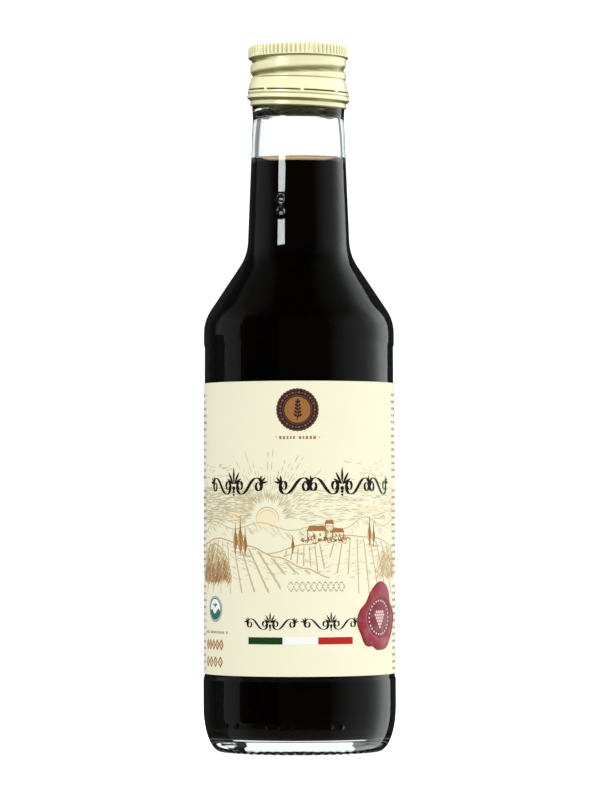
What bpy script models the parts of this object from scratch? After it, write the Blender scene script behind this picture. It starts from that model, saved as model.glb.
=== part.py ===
"""A full quarter-litre vinegar bottle: clear glass, a wrap label and a roll-on aluminium cap.

The bottle stands on z = 0 with its axis on Z, and the front of its label faces -Y.
"""

import math

import bmesh
import bpy

# Sizes are in millimetres here, because every one of them is small. Meshes are made in metres.
MM = 0.001

# Fineness of the turned shapes
GLASS_SIDES = 56
FLUTES = 68
CAP_SIDES = 2 * FLUTES
ARC_STEPS = 3
SCREW_MERGE = 0.00001

# Bottle, outside, from the mouth down to the foot
MOUTH_Z = 203.0
MOUTH_BORE_R = 9.6
MOUTH_R = 12.5
LIP_ROUND = 0.5
FINISH_FOOT_Z = 191.2
LOCKING_RING_R = 13.85
LOCKING_RING_Z = (190.4, 188.9)
NECK_TOP_R = 13.09
NECK_TOP_Z = 187.7
NECK_TAPER = math.radians(2.37)
NECK_FILLET_R = 14.0
SHOULDER_TILT = math.radians(33.7)
SHOULDER_FILLET_R = 12.0
SHOULDER_R = 27.6
SHOULDER_Z = 121.1
SHOULDER_RING_Z = 117.8
PANEL_TOP_R = 27.36
PANEL_TOP_Z = 116.9
PANEL_FOOT_R = 27.65
PANEL_FOOT_Z = 21.9
HEEL_R = 27.95
HEEL_RING_Z = 21.1
HEEL_ROUND = (5.0, 13.0)
BEARING_RING_R = 21.2
PUSH_UP_R = 19.0
PUSH_UP_RIM_Z = 2.0
PUSH_UP_Z = 3.2

# Bottle, inside
WALL = 3.28
FLOOR_RIM_Z = 4.4
FLOOR_Z = 5.3
FLOOR_RIM_R = 12.0
INNER_HEEL_ROUND = (6.5, 9.0)

# Vinegar, up to the level that stands in the neck
VINEGAR_LEVEL_Z = 171.4
TOUCH_GAP = 0.3

# Label, wrapped round the panel with its ends apart at the back
LABEL_TOP_Z = 106.4
LABEL_FOOT_Z = 22.6
LABEL_GAP = 0.1
PAPER = 0.12
LABEL_OPEN_SIDES = 2
BACK_ANGLE = math.radians(90.0)

# Cap, outside, from the top down to its rolled edge
CAP_TOP_Z = 204.5
CAP_TOP_FLAT_R = 12.9
CAP_CORNER = ((14.05, 204.2), (14.55, 203.45))
KNURL_FOOT = (14.55, 201.3)
KNURL_DEPTH = 0.3
THREAD_ROLL_R = 14.0
THREAD_ROLL_Z = (200.6, 195.0)
THREAD_ROLL_ROWS = 6
SKIRT_TOP = (13.75, 194.2)
SLIT_Z = (191.4, 190.8)
SKIRT_FOOT_R = 14.4
BAND_R = 14.75
BAND_BEADS = ((14.75, 189.9), (14.5, 189.5), (14.78, 188.5), (14.25, 187.6))
BAND_EDGE = ((13.95, 186.7), (13.5, 186.95), (14.3, 187.9))
BAND_SHELL = 0.4
CAP_INNER_R = 12.95
CAP_INNER_TOP_Z = 203.3

# Grooves that the rolling machine presses into the cap: one ring, and one turn and more of thread
PRESS_DEPTH = 0.85
PRESS_HALF_WIDTH = 0.8
PRESS_RING_Z = 199.5
THREAD_PITCH = 3.17
THREAD_LEFT_Z = 195.35
LEFT_ANGLE = math.radians(180.0)
THREAD_START = math.radians(120.0)
THREAD_RUN_OUT = math.radians(45.0)
THREAD_END = math.radians(640.0)

# The break line of the cap: slits between short bridges, over a band that sits a little askew
BRIDGES = 8
SIDES_PER_BRIDGE = CAP_SIDES // BRIDGES
FIRST_BRIDGE_SIDE = 1
ROW_TOLERANCE = 0.05
BAND_SKEW = math.tan(math.radians(2.2))
SKEW_FROM_Z = 196.0
SKEW_FULL_Z = 193.0


def remove_startup_objects():
    for obj in list(bpy.data.objects):
        bpy.data.objects.remove(obj, do_unlink=True)


def make_collection(name):
    collection = bpy.data.collections.new(name)
    bpy.context.scene.collection.children.link(collection)
    return collection


def make_material(name, color, roughness, metallic=0.0, transmission=0.0, ior=1.5):
    material = bpy.data.materials.new(name)
    material.use_nodes = True
    shader = material.node_tree.nodes["Principled BSDF"]
    shader.inputs["Base Color"].default_value = (*color, 1.0)
    shader.inputs["Roughness"].default_value = roughness
    shader.inputs["Metallic"].default_value = metallic
    shader.inputs["Transmission Weight"].default_value = transmission
    shader.inputs["IOR"].default_value = ior
    return material


def arc(centre, radii, start, end, steps=ARC_STEPS):
    """Points on an ellipse in the (r, z) plane, from one angle to another, both ends included."""
    points = []
    for step in range(steps + 1):
        angle = start + (end - start) * step / steps
        points.append((centre[0] + radii[0] * math.cos(angle), centre[1] + radii[1] * math.sin(angle)))
    return points


def turned(name, profile, sides, material, collection, turn=math.tau):
    """An outline in the (r, z) plane turned about the Z axis."""
    mesh = bpy.data.meshes.new(name)
    vertices = [(r * MM, 0.0, z * MM) for r, z in profile]
    edges = [(i, i + 1) for i in range(len(profile) - 1)]
    mesh.from_pydata(vertices, edges, [])
    mesh.materials.append(material)
    obj = bpy.data.objects.new(name, mesh)
    collection.objects.link(obj)
    screw = obj.modifiers.new("Turn", "SCREW")
    screw.axis = "Z"
    screw.angle = turn
    screw.steps = sides
    screw.render_steps = sides
    screw.use_merge_vertices = True
    screw.merge_threshold = SCREW_MERGE
    screw.use_smooth_shade = True
    return obj


def neck_radius(z):
    return NECK_TOP_R + (NECK_TOP_Z - z) * math.tan(NECK_TAPER)


def neck_foot_z():
    """Height where the neck's taper meets the fillet that runs into the shoulder's cone."""
    slope = math.tan(SHOULDER_TILT)
    taper = math.tan(NECK_TAPER)
    shoulder_top_r = SHOULDER_R - SHOULDER_FILLET_R * (1.0 - math.cos(SHOULDER_TILT))
    shoulder_top_z = SHOULDER_Z + SHOULDER_FILLET_R * math.sin(SHOULDER_TILT)
    fillet_out = NECK_FILLET_R * (math.cos(NECK_TAPER) - math.cos(SHOULDER_TILT))
    fillet_down = NECK_FILLET_R * (math.sin(SHOULDER_TILT) - math.sin(NECK_TAPER))
    cone_r_at_zero = shoulder_top_r + shoulder_top_z * slope
    neck_r_at_zero = NECK_TOP_R + NECK_TOP_Z * taper
    return (cone_r_at_zero - neck_r_at_zero - fillet_out + fillet_down * slope) / (slope - taper)


def neck_and_shoulder(inset):
    """The glass from the neck's foot to the shoulder's ring, moved inwards by inset."""
    foot_z = neck_foot_z()
    centre = (
        neck_radius(foot_z) + NECK_FILLET_R * math.cos(NECK_TAPER),
        foot_z + NECK_FILLET_R * math.sin(NECK_TAPER),
    )
    hollow = NECK_FILLET_R + inset
    points = arc(centre, (hollow, hollow), math.pi + NECK_TAPER, math.pi + SHOULDER_TILT)
    crown = SHOULDER_FILLET_R - inset
    points += arc((SHOULDER_R - SHOULDER_FILLET_R, SHOULDER_Z), (crown, crown), SHOULDER_TILT, 0.0)
    return points


def glass_outside():
    """The outer surface, from the mouth's bore over the lip and down to the push-up's centre."""
    points = [
        (MOUTH_BORE_R, MOUTH_Z - LIP_ROUND),
        (MOUTH_BORE_R + LIP_ROUND, MOUTH_Z),
        (MOUTH_R - LIP_ROUND, MOUTH_Z),
        (MOUTH_R, MOUTH_Z - LIP_ROUND),
        (MOUTH_R, FINISH_FOOT_Z),
    ]
    points += [(LOCKING_RING_R, z) for z in LOCKING_RING_Z]
    points.append((NECK_TOP_R, NECK_TOP_Z))
    points += neck_and_shoulder(0.0)
    points += [
        (SHOULDER_R, SHOULDER_RING_Z),
        (PANEL_TOP_R, PANEL_TOP_Z),
        (PANEL_FOOT_R, PANEL_FOOT_Z),
        (HEEL_R, HEEL_RING_Z),
    ]
    heel_centre = (HEEL_R - HEEL_ROUND[0], HEEL_ROUND[1])
    points += arc(heel_centre, HEEL_ROUND, 0.0, -math.pi / 2, 5)
    points += [(BEARING_RING_R, 0.0), (PUSH_UP_R, PUSH_UP_RIM_Z), (0.0, PUSH_UP_Z)]
    return points


def glass_inside(inset, top_z):
    """The bore's surface moved inwards by inset, from top_z down to the floor's centre."""
    wall = WALL + inset
    points = [(neck_radius(top_z) - wall / math.cos(NECK_TAPER), top_z)]
    points += neck_and_shoulder(wall)
    heel_centre = (SHOULDER_R - WALL - INNER_HEEL_ROUND[0], FLOOR_RIM_Z + INNER_HEEL_ROUND[1])
    heel_radii = (INNER_HEEL_ROUND[0] - inset, INNER_HEEL_ROUND[1] - inset)
    points += arc(heel_centre, heel_radii, 0.0, -math.pi / 2)
    points += [(FLOOR_RIM_R, (FLOOR_RIM_Z + FLOOR_Z) / 2 + inset), (0.0, FLOOR_Z + inset)]
    return points


def make_bottle(material, collection):
    bore = glass_inside(0.0, NECK_TOP_Z)
    bore.reverse()
    return turned("bottle", bore + glass_outside(), GLASS_SIDES, material, collection)


def make_vinegar(material, collection):
    profile = [(0.0, VINEGAR_LEVEL_Z)] + glass_inside(TOUCH_GAP, VINEGAR_LEVEL_Z)
    return turned("vinegar", profile, GLASS_SIDES, material, collection)


def panel_radius(z):
    share = (z - PANEL_FOOT_Z) / (PANEL_TOP_Z - PANEL_FOOT_Z)
    return PANEL_FOOT_R + (PANEL_TOP_R - PANEL_FOOT_R) * share


def make_label(material, collection):
    """An open sheet turned nearly all the way round, then given the paper's thickness outwards."""
    profile = [(panel_radius(z) + LABEL_GAP, z) for z in (LABEL_TOP_Z, LABEL_FOOT_Z)]
    side = math.tau / GLASS_SIDES
    wrapped_sides = GLASS_SIDES - LABEL_OPEN_SIDES
    label = turned(
        "label", profile, wrapped_sides, material, collection, turn=wrapped_sides * side
    )
    label.rotation_euler.z = BACK_ANGLE + side * LABEL_OPEN_SIDES / 2
    paper = label.modifiers.new("Paper", "SOLIDIFY")
    paper.thickness = PAPER * MM
    paper.offset = 1.0
    return label


def cap_profile():
    """The cap's shell, from the centre of its top down the outside and back up the inside."""
    top, foot = THREAD_ROLL_Z
    rolls = [top + (foot - top) * row / (THREAD_ROLL_ROWS - 1) for row in range(THREAD_ROLL_ROWS)]
    points = [(0.0, CAP_TOP_Z), (CAP_TOP_FLAT_R, CAP_TOP_Z), *CAP_CORNER, KNURL_FOOT]
    points += [(THREAD_ROLL_R, z) for z in rolls]
    points += [SKIRT_TOP, (SKIRT_FOOT_R, SLIT_Z[0]), (BAND_R, SLIT_Z[1]), *BAND_BEADS, *BAND_EDGE]
    points += [
        (BAND_R - BAND_SHELL, SLIT_Z[1]),
        (SKIRT_FOOT_R - BAND_SHELL, SLIT_Z[0]),
        (CAP_INNER_R, SKIRT_TOP[1]),
        (CAP_INNER_R, CAP_INNER_TOP_Z),
        (0.0, CAP_INNER_TOP_Z),
    ]
    return points


def press(distance):
    """Depth of a rolled groove at a distance from its middle, both in millimetres."""
    return PRESS_DEPTH * math.exp(-((distance / PRESS_HALF_WIDTH) ** 2))


def rolled_depth(angle, z):
    """How far the ring and the thread are pressed in at one place on the cap."""
    depth = press(z - PRESS_RING_Z)
    turn_angle = angle % math.tau
    while turn_angle <= THREAD_END:
        if turn_angle >= THREAD_START:
            thread_z = THREAD_LEFT_Z + THREAD_PITCH * (turn_angle - LEFT_ANGLE) / math.tau
            run_out = min((turn_angle - THREAD_START) / THREAD_RUN_OUT, 1.0)
            depth = max(depth, press(z - thread_z) * run_out)
        turn_angle += math.tau
    return depth


def skewed(x, z):
    """The lower band sits a little askew on the neck: its right side hangs lower."""
    share = (SKEW_FROM_Z - z) / (SKEW_FROM_Z - SKEW_FULL_Z)
    return z - x * BAND_SKEW * min(max(share, 0.0), 1.0)


def shape_cap_vertex(vert):
    """Press the flutes, the rolled grooves and the skew into one vertex of the turned cap."""
    x, y, z = (value / MM for value in vert.co)
    radius = math.hypot(x, y)
    angle = math.atan2(y, x)
    side = round(angle / math.tau * CAP_SIDES)
    on_shell = radius > CAP_INNER_R + BAND_SHELL
    on_knurl = KNURL_FOOT[1] - ROW_TOLERANCE < z < CAP_CORNER[1][1] + ROW_TOLERANCE
    on_thread = SKIRT_TOP[1] + ROW_TOLERANCE < z < KNURL_FOOT[1] - ROW_TOLERANCE
    if on_shell and on_knurl and side % 2:
        radius -= KNURL_DEPTH
    if on_shell and on_thread:
        radius -= rolled_depth(angle, z)
    x = radius * math.cos(angle)
    y = radius * math.sin(angle)
    vert.co = (x * MM, y * MM, skewed(x, z) * MM)


def is_slit_face(face):
    """Whether a face lies in the row of slits, away from the short bridges between them."""
    heights = [vert.co.z / MM for vert in face.verts]
    top_fits = abs(max(heights) - SLIT_Z[0]) < ROW_TOLERANCE
    foot_fits = abs(min(heights) - SLIT_Z[1]) < ROW_TOLERANCE
    centre = face.calc_center_median()
    side = math.floor((math.atan2(centre.y, centre.x) % math.tau) / math.tau * CAP_SIDES)
    return top_fits and foot_fits and side % SIDES_PER_BRIDGE != FIRST_BRIDGE_SIDE


def cut_slits(bm):
    """Open the slits through the shell and line each with its own edge."""
    bmesh.ops.delete(bm, geom=[face for face in bm.faces if is_slit_face(face)], context="FACES")
    open_edges = {edge for edge in bm.edges if edge.is_boundary}
    rims = []
    while open_edges:
        rim = {open_edges.pop()}
        grown = True
        while grown:
            verts = {vert for edge in rim for vert in edge.verts}
            more = {edge for edge in open_edges if verts.intersection(edge.verts)}
            rim |= more
            open_edges -= more
            grown = bool(more)
        rims.append(rim)

    def place(rim):
        points = [vert.co for edge in rim for vert in edge.verts]
        x = sum(point.x for point in points)
        y = sum(point.y for point in points)
        return round(math.atan2(y, x), 2)

    for spot in sorted({place(rim) for rim in rims}):
        edges = [edge for rim in rims if place(rim) == spot for edge in rim]
        bmesh.ops.bridge_loops(bm, edges=edges)


def make_cap(material, collection):
    blank = turned("cap_blank", cap_profile(), CAP_SIDES, material, collection)
    depsgraph = bpy.context.evaluated_depsgraph_get()
    mesh = bpy.data.meshes.new_from_object(blank.evaluated_get(depsgraph))
    bpy.data.objects.remove(blank, do_unlink=True)
    bm = bmesh.new()
    bm.from_mesh(mesh)
    bmesh.ops.remove_doubles(bm, verts=bm.verts, dist=SCREW_MERGE)
    cut_slits(bm)
    for vert in bm.verts:
        shape_cap_vertex(vert)
    bmesh.ops.recalc_face_normals(bm, faces=bm.faces)
    bm.to_mesh(mesh)
    bm.free()
    cap = bpy.data.objects.new("cap", mesh)
    collection.objects.link(cap)
    mesh.set_sharp_from_angle(angle=math.radians(40.0))
    return cap


def main():
    remove_startup_objects()
    collection = make_collection("vinegar_bottle")
    glass = make_material("clear_glass", (0.95, 0.97, 0.96), 0.03, transmission=1.0, ior=1.52)
    vinegar = make_material("dark_vinegar", (0.02, 0.008, 0.004), 0.05)
    lacquer = make_material("pale_gold_lacquer", (0.78, 0.72, 0.45), 0.3, metallic=0.9)
    paper = make_material("cream_paper", (0.87, 0.84, 0.67), 0.7)
    make_bottle(glass, collection)
    make_vinegar(vinegar, collection)
    make_cap(lacquer, collection)
    make_label(paper, collection)


main()
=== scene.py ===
"""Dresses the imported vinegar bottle: clear glass, dark vinegar, a lacquered cap and a printed label."""

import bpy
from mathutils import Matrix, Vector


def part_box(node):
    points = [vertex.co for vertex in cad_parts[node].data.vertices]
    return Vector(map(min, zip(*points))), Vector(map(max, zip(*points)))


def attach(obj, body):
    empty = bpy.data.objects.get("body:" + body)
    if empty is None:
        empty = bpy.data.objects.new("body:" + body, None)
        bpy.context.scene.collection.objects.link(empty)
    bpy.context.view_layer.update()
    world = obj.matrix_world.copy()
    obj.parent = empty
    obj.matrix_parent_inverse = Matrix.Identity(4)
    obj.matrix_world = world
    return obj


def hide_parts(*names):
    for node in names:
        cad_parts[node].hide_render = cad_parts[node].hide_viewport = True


bl_info = {
    "name": "Vinegar Bottle Looks",
    "version": (1, 0, 0),
    "blender": (4, 5, 0),
    "location": "3D View > Sidebar > Bottle",
    "description": "Builds the visible pieces of a full vinegar bottle around its packed frame",
    "category": "Object",
}

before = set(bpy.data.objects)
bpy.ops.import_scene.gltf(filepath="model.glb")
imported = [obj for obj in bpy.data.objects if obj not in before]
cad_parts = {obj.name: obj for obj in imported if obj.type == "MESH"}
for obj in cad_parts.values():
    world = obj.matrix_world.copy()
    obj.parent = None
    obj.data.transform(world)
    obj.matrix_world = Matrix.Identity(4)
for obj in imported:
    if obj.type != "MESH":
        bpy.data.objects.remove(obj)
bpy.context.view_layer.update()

import math
import random

import bmesh
import bpy
from bpy.props import FloatProperty, FloatVectorProperty, IntProperty, PointerProperty
from bpy.types import Operator, Panel, PropertyGroup
from mathutils import Matrix, Vector, noise
from mathutils.geometry import interpolate_bezier

MM = 0.001
ROOT = "root"
CAP_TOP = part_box("cap")[1].z
LABEL_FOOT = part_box("label")[0].z
LABEL_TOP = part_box("label")[1].z
MOUTH_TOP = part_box("bottle")[1].z
FRONT = math.radians(270.0)
GLASS_IOR = 1.52
VINEGAR_IOR = 1.34
MERGE = 1e-7
PRINT_MERGE = 1e-5
FILM = 0.08 * MM


# Sizes and colours that a user can change


def length(description, millimetres):
    return FloatProperty(description=description, default=millimetres * MM, unit="LENGTH", precision=5)


def angle(description, degrees):
    return FloatProperty(description=description, default=math.radians(degrees), unit="ROTATION")


def number(description, default):
    return FloatProperty(description=description, default=default, min=0.0)


def colour(description, default):
    return FloatVectorProperty(description=description, default=default, subtype="COLOR", min=0.0, max=1.0)


def count(description, default):
    return IntProperty(description=description, default=default, min=1)


class GlassSettings(PropertyGroup):
    sides: count("Facets round the turned glass", 240)
    wall: length("Thickness of the glass", 3.28)
    mouth_radius: length("Outer radius of the mouth under the cap", 12.5)
    bore_radius: length("Inner radius at the mouth", 9.0)
    neck_wall: length("Thickness of the glass in the neck", 2.3)
    finish_foot: length("Height where the bore narrows to the mouth", 183.6)
    finish_step: length("Height over which the bore narrows", 1.8)
    ring_radius: length("Radius of the ring that the cap's band grips", 13.85)
    ring_top: length("Height of the ring's upper edge", 190.4)
    ring_foot: length("Height of the ring's lower edge", 188.9)
    neck_radius: length("Outer radius at the top of the neck", 13.09)
    neck_top: length("Height where the neck's taper starts", 187.7)
    neck_taper: angle("Lean of the neck's side", 2.37)
    flare_radius: length("Radius of the small flare under the ring", 13.5)
    flare_foot: length("Height where the neck starts to flare", 183.5)
    neck_fillet: length("Radius of the hollow between neck and shoulder", 14.0)
    shoulder_tilt: angle("Lean of the shoulder's cone from upright", 33.7)
    shoulder_fillet: length("Radius of the shoulder's round", 12.0)
    shoulder_radius: length("Radius of the ring below the shoulder", 27.6)
    shoulder_height: length("Height where the shoulder's round ends", 121.1)
    ring_below: length("Height where the shoulder's ring ends", 117.8)
    panel_top_radius: length("Radius at the label panel's top", 27.36)
    panel_top: length("Height of the label panel's top", 116.9)
    panel_foot_radius: length("Radius at the label panel's foot", 27.65)
    panel_foot: length("Height of the label panel's foot", 21.9)
    heel_radius: length("Radius of the heel's ring", 27.95)
    heel_height: length("Height of the heel's round", 13.0)
    heel_depth: length("How far the heel's round comes in", 5.0)
    bearing_radius: length("Inner radius of the ring it stands on", 21.2)
    push_up: length("Height of the hollow under the base", 3.0)
    floor_rim: length("Height of the inner floor at its rim", 4.3)
    floor_crown: length("Height of the inner floor at its centre", 5.0)
    floor_round: length("Radius between the inner floor and the wall", 3.5)
    waviness: length("How far the bore wanders from true", 0.16)
    tint: colour("Faint tint of the glass", (0.985, 0.993, 0.988))


class VinegarSettings(PropertyGroup):
    level: length("Height of the flat part of the surface", 170.5)
    climb: length("How far the vinegar climbs the wall", 1.5)
    reach: length("How far the climbing edge comes in at the level", 0.9)
    bite: length("How far the vinegar reaches into the glass", 0.08)
    body: colour("Colour of the deep vinegar", (0.0022, 0.0012, 0.0009))
    # Painted glow colour, mixed in towards the floor.
    glow: colour("Colour near the floor, where it is thin", (0.006, 0.0022, 0.0018))
    amber: colour("Colour that a thin edge lets through", (0.62, 0.36, 0.02))
    density: number("Absorption of the thin edge, per metre", 2600.0)


class CapSettings(PropertyGroup):
    flutes: count("Grooves of the knurled band", 68)
    sides_per_flute: count("Facets across one flute", 6)
    radius: length("Radius of the knurled band", 14.6)
    flute_depth: length("Depth of the knurling", 0.34)
    knurl_foot: length("Height of the knurled band's lower edge", 201.1)
    waist_radius: length("Radius of the rolled part", 14.0)
    crease: length("Height where the skirt starts to flare", 194.9)
    skirt_radius: length("Radius of the skirt above the break line", 14.6)
    slit_top: length("Upper edge of the break line", 191.5)
    slit_height: length("Height of the break line's slits", 0.42)
    bridges: count("Short bridges across the break line", 8)
    bridge_angle: angle("Turn of the front bridge from the front", 4.5)
    bridge_width: angle("Turn that one bridge spans", 4.2)
    slit_depth: length("How deep the cuts of the break line look", 0.9)
    band_radius: length("Radius of the lower band", 14.8)
    foot: length("Height of the rolled lower edge", 186.55)
    groove_depth: length("Depth of the rolled thread", 0.8)
    groove_above: length("Height of the rolled thread's upper flank", 1.3)
    groove_below: length("Height of the rolled thread's lower flank", 0.6)
    thread_pitch: length("Rise of the rolled thread in one turn", 4.2)
    thread_left: length("Height of the rolled thread at the left", 195.35)
    lean_side: angle("How far the lower band hangs down on the right", 2.2)
    lean_front: angle("How far the lower band hangs down in front", 2.4)
    shell: length("Thickness of the aluminium", 0.24)
    lacquer: colour("Pale gold of the lacquer", (1.0, 0.98, 0.62))
    # Painted shade colour for the grooves, flutes, slits and downward-facing flanks.
    shade: colour("Deeper tone in the rolled grooves", (0.25, 0.23, 0.05))


class LabelSettings(PropertyGroup):
    gap: length("Space between glass and paper", 0.1)
    paper: length("Thickness of the paper", 0.12)
    opening: angle("Gap between the label's ends at the back", 12.86)
    shift: length("How far the print sits to the left of the label's middle", 0.25)
    cream: colour("Colour of the paper", (0.79, 0.765, 0.575))
    fibre: colour("Slightly darker mottling of the paper", (0.745, 0.715, 0.52))


class StageSettings(PropertyGroup):
    distance: length("From the bottle's axis to the camera", 1142.0)
    height: length("Height of the camera over the floor", 70.9)
    aside: length("How far the camera stands to the right", 0.22)
    pitch: angle("Upward tilt of the camera", 1.544)
    roll: angle("Turn of the camera about its view", 0.13)
    lens: number("Focal length in millimetres", 177.0)
    floor_radius: length("Radius of the pale floor", 4000.0)
    backdrop: number("Brightness of the white backdrop", 1.25)
    fill: number("Brightness of the light that falls on matt surfaces", 1.2)


# Meshes: an outline in the (radius, height) plane, turned about the bottle's axis


def aim(turn):
    """The unit vector that points at an angle."""
    return Vector((math.cos(turn), math.sin(turn)))


def arc_points(centre, radii, start, end, steps):
    """Points along an ellipse, both ends included."""
    points = []
    for step in range(steps + 1):
        turn = start + (end - start) * step / steps
        points.append(centre + Vector((radii[0] * math.cos(turn), radii[1] * math.sin(turn))))
    return points


def rounded(corners, step=math.radians(7.0)):
    """An outline through corners (radius, height, fillet), with each fillet as an arc."""
    outline = [Vector(corners[0][:2])]
    for before, corner, after in zip(corners, corners[1:], corners[2:]):
        point = Vector(corner[:2])
        fillet = corner[2]
        if fillet <= 0.0:
            outline.append(point)
            continue
        back = (Vector(before[:2]) - point).normalized()
        ahead = (Vector(after[:2]) - point).normalized()
        half = back.angle(ahead) / 2
        centre = point + (back + ahead).normalized() * (fillet / math.sin(half))
        first = point + back * (fillet / math.tan(half)) - centre
        last = point + ahead * (fillet / math.tan(half)) - centre
        start = math.atan2(first.y, first.x)
        sweep = (math.atan2(last.y, last.x) - start + math.pi) % math.tau - math.pi
        steps = max(2, math.ceil(abs(sweep) / step))
        outline += arc_points(centre, (fillet, fillet), start, start + sweep, steps)
    outline.append(Vector(corners[-1][:2]))
    return outline


def divided(outline, longest):
    """The same outline with its long straight runs cut into shorter ones."""
    points = [outline[0]]
    for a, b in zip(outline, outline[1:]):
        cuts = max(1, math.ceil((b - a).length / longest))
        points += [a.lerp(b, cut / cuts) for cut in range(1, cuts + 1)]
    return points


def spin_outline(bm, outline, sides, turn=math.tau, start=0.0):
    """Turns an outline about the Z axis. A full turn is closed, and points on the axis are merged."""
    place = Matrix.Rotation(start, 3, "Z")
    verts = [bm.verts.new(place @ Vector((point.x, 0.0, point.y))) for point in outline]
    edges = [bm.edges.new(pair) for pair in zip(verts, verts[1:])]
    full = turn >= math.tau
    bmesh.ops.spin(
        bm, geom=verts + edges, cent=(0, 0, 0), axis=(0, 0, 1), angle=turn, steps=sides, use_merge=full
    )
    bmesh.ops.remove_doubles(bm, verts=bm.verts, dist=MERGE)


def polar(co):
    """Radius, angle and height of a point."""
    return math.hypot(co.x, co.y), math.atan2(co.y, co.x) % math.tau, co.z


def from_polar(radius, turn, height):
    return Vector((radius * math.cos(turn), radius * math.sin(turn), height))


def fade(value, low, high):
    """Smooth step from 0 at low to 1 at high."""
    t = min(max((value - low) / (high - low), 0.0), 1.0)
    return t * t * (3.0 - 2.0 * t)


def hump(distance, width):
    """A smooth bell of height 1 whose sides fall within width."""
    return math.exp(-((distance / width) ** 2))


def make_object(bm, name, material):
    """An object in the scene from a bmesh, which is used up."""
    mesh = bpy.data.meshes.new(name)
    bm.to_mesh(mesh)
    bm.free()
    mesh.materials.append(material)
    made = bpy.data.objects.new(name, mesh)
    bpy.context.scene.collection.objects.link(made)
    return made


def make_piece(bm, name, material, replaced=(), sharp=math.radians(40.0)):
    """A finished piece from a bmesh: smooth, riding on the bottle and its node named."""
    piece = make_object(bm, name, material)
    piece.data.shade_smooth()
    piece.data.set_sharp_from_angle(angle=sharp)
    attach(piece, ROOT)
    if replaced:
        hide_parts(*replaced)
    return piece


def make_wall(piece, thickness):
    """Give a surface its thickness, inwards from its outside."""
    wall = piece.modifiers.new("Wall", "SOLIDIFY")
    wall.thickness = thickness
    wall.offset = -1.0
    return wall


def make_sheet(bm, name, material, thickness, replaced=()):
    """A thin faceted piece of the label, such as its paper or a film of ink."""
    piece = make_piece(bm, name, material, replaced)
    piece.data.shade_flat()
    make_wall(piece, thickness)


def make_prop(bm, name, material, unseen_by):
    """A thing on the stage, which some kinds of rays pass by."""
    prop = make_object(bm, name, material)
    for rays in unseen_by:
        setattr(prop, f"visible_{rays}", False)


# Materials: sockets that Python's operators extend with Math nodes


class Wire:
    """One output socket, or a plain number, in an expression."""

    def __init__(self, graph, socket):
        self.graph = graph
        self.socket = socket

    def math(self, operation, *values):
        sockets = dict(enumerate(values))
        return self.graph.node("ShaderNodeMath", {"operation": operation}, sockets)

    def __add__(self, other):
        return self.math("ADD", self, other)

    def __radd__(self, other):
        return self.math("ADD", other, self)

    def __sub__(self, other):
        return self.math("SUBTRACT", self, other)

    def __rsub__(self, other):
        return self.math("SUBTRACT", other, self)

    def __mul__(self, other):
        return self.math("MULTIPLY", self, other)

    def __rmul__(self, other):
        return self.math("MULTIPLY", other, self)

    def __truediv__(self, other):
        return self.math("DIVIDE", self, other)

    def __gt__(self, other):
        return self.math("GREATER_THAN", self, other)

    def __lt__(self, other):
        return self.math("LESS_THAN", self, other)

    def clamp(self):
        return self.graph.node("ShaderNodeClamp", {}, {"Value": self})


class Graph:
    """The node tree of a material or a world, which grows by one call for each node."""

    def __init__(self, owner):
        self.owner = owner
        owner.use_nodes = True
        self.tree = owner.node_tree
        self.tree.nodes.clear()

    def node(self, kind, settings=None, sockets=None, out=0):
        node = self.tree.nodes.new(kind)
        for name, value in (settings or {}).items():
            if name == "stops":
                self.set_stops(node.color_ramp, value)
            else:
                setattr(node, name, value)
        for name, value in (sockets or {}).items():
            if isinstance(value, Wire):
                self.tree.links.new(value.socket, node.inputs[name])
            else:
                node.inputs[name].default_value = value
        if not node.outputs:
            return None
        return Wire(self, node.outputs[out])

    @staticmethod
    def set_stops(ramp, stops):
        while len(ramp.elements) < len(stops):
            ramp.elements.new(1.0)
        for element, (place, value) in zip(ramp.elements, stops):
            element.position = place
            element.color = (*value, 1.0) if hasattr(value, "__len__") else (value, value, value, 1.0)

    def mix(self, factor, a, b):
        """Two colours mixed by a factor."""
        a, b = (v if isinstance(v, Wire) else (*v, 1.0) for v in (a, b))
        return self.node("ShaderNodeMix", {"data_type": "RGBA"}, {0: factor, 6: a, 7: b}, 2)

    def object_point(self):
        """Object coordinates in millimetres."""
        point = self.node("ShaderNodeTexCoord", {}, {}, "Object")
        return self.node("ShaderNodeMapping", {}, {"Vector": point, "Scale": (1.0 / MM, 1.0 / MM, 1.0 / MM)})

    def axis(self, point, name):
        """One coordinate of a point."""
        return self.node("ShaderNodeSeparateXYZ", {}, {"Vector": point}, name)

    def noise(self, point, scale, detail=3.0, roughness=0.5):
        sockets = {"Vector": point, "Scale": scale, "Detail": detail, "Roughness": roughness}
        return self.node("ShaderNodeTexNoise", {}, sockets)

    def bump(self, height, strength, distance):
        sockets = {"Height": height, "Strength": strength, "Distance": distance * MM}
        return self.node("ShaderNodeBump", {}, sockets)

    def principled(self, sockets, volume=None):
        """The material, finished with one Principled shader."""
        outputs = {"Surface": self.node("ShaderNodeBsdfPrincipled", {}, sockets)}
        if volume:
            outputs["Volume"] = volume
        self.node("ShaderNodeOutputMaterial", {}, outputs)
        return self.owner


def new_material(name):
    return Graph(bpy.data.materials.new(name))


def glass_material(settings):
    """Clear glass with the faint ripple of a moulded bottle."""
    graph = new_material("clear_glass")
    point = graph.object_point()
    ripple = graph.noise(point, 0.09, 2.0)
    pits = graph.noise(point, 2.5, 3.0)
    sockets = {
        "Base Color": (*settings.tint, 1.0),
        "Roughness": (pits - 0.55).clamp() * 0.12,
        "IOR": GLASS_IOR,
        "Transmission Weight": 1.0,
        "Normal": graph.bump(ripple, 0.12, 0.25),
    }
    return graph.principled(sockets)


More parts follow.
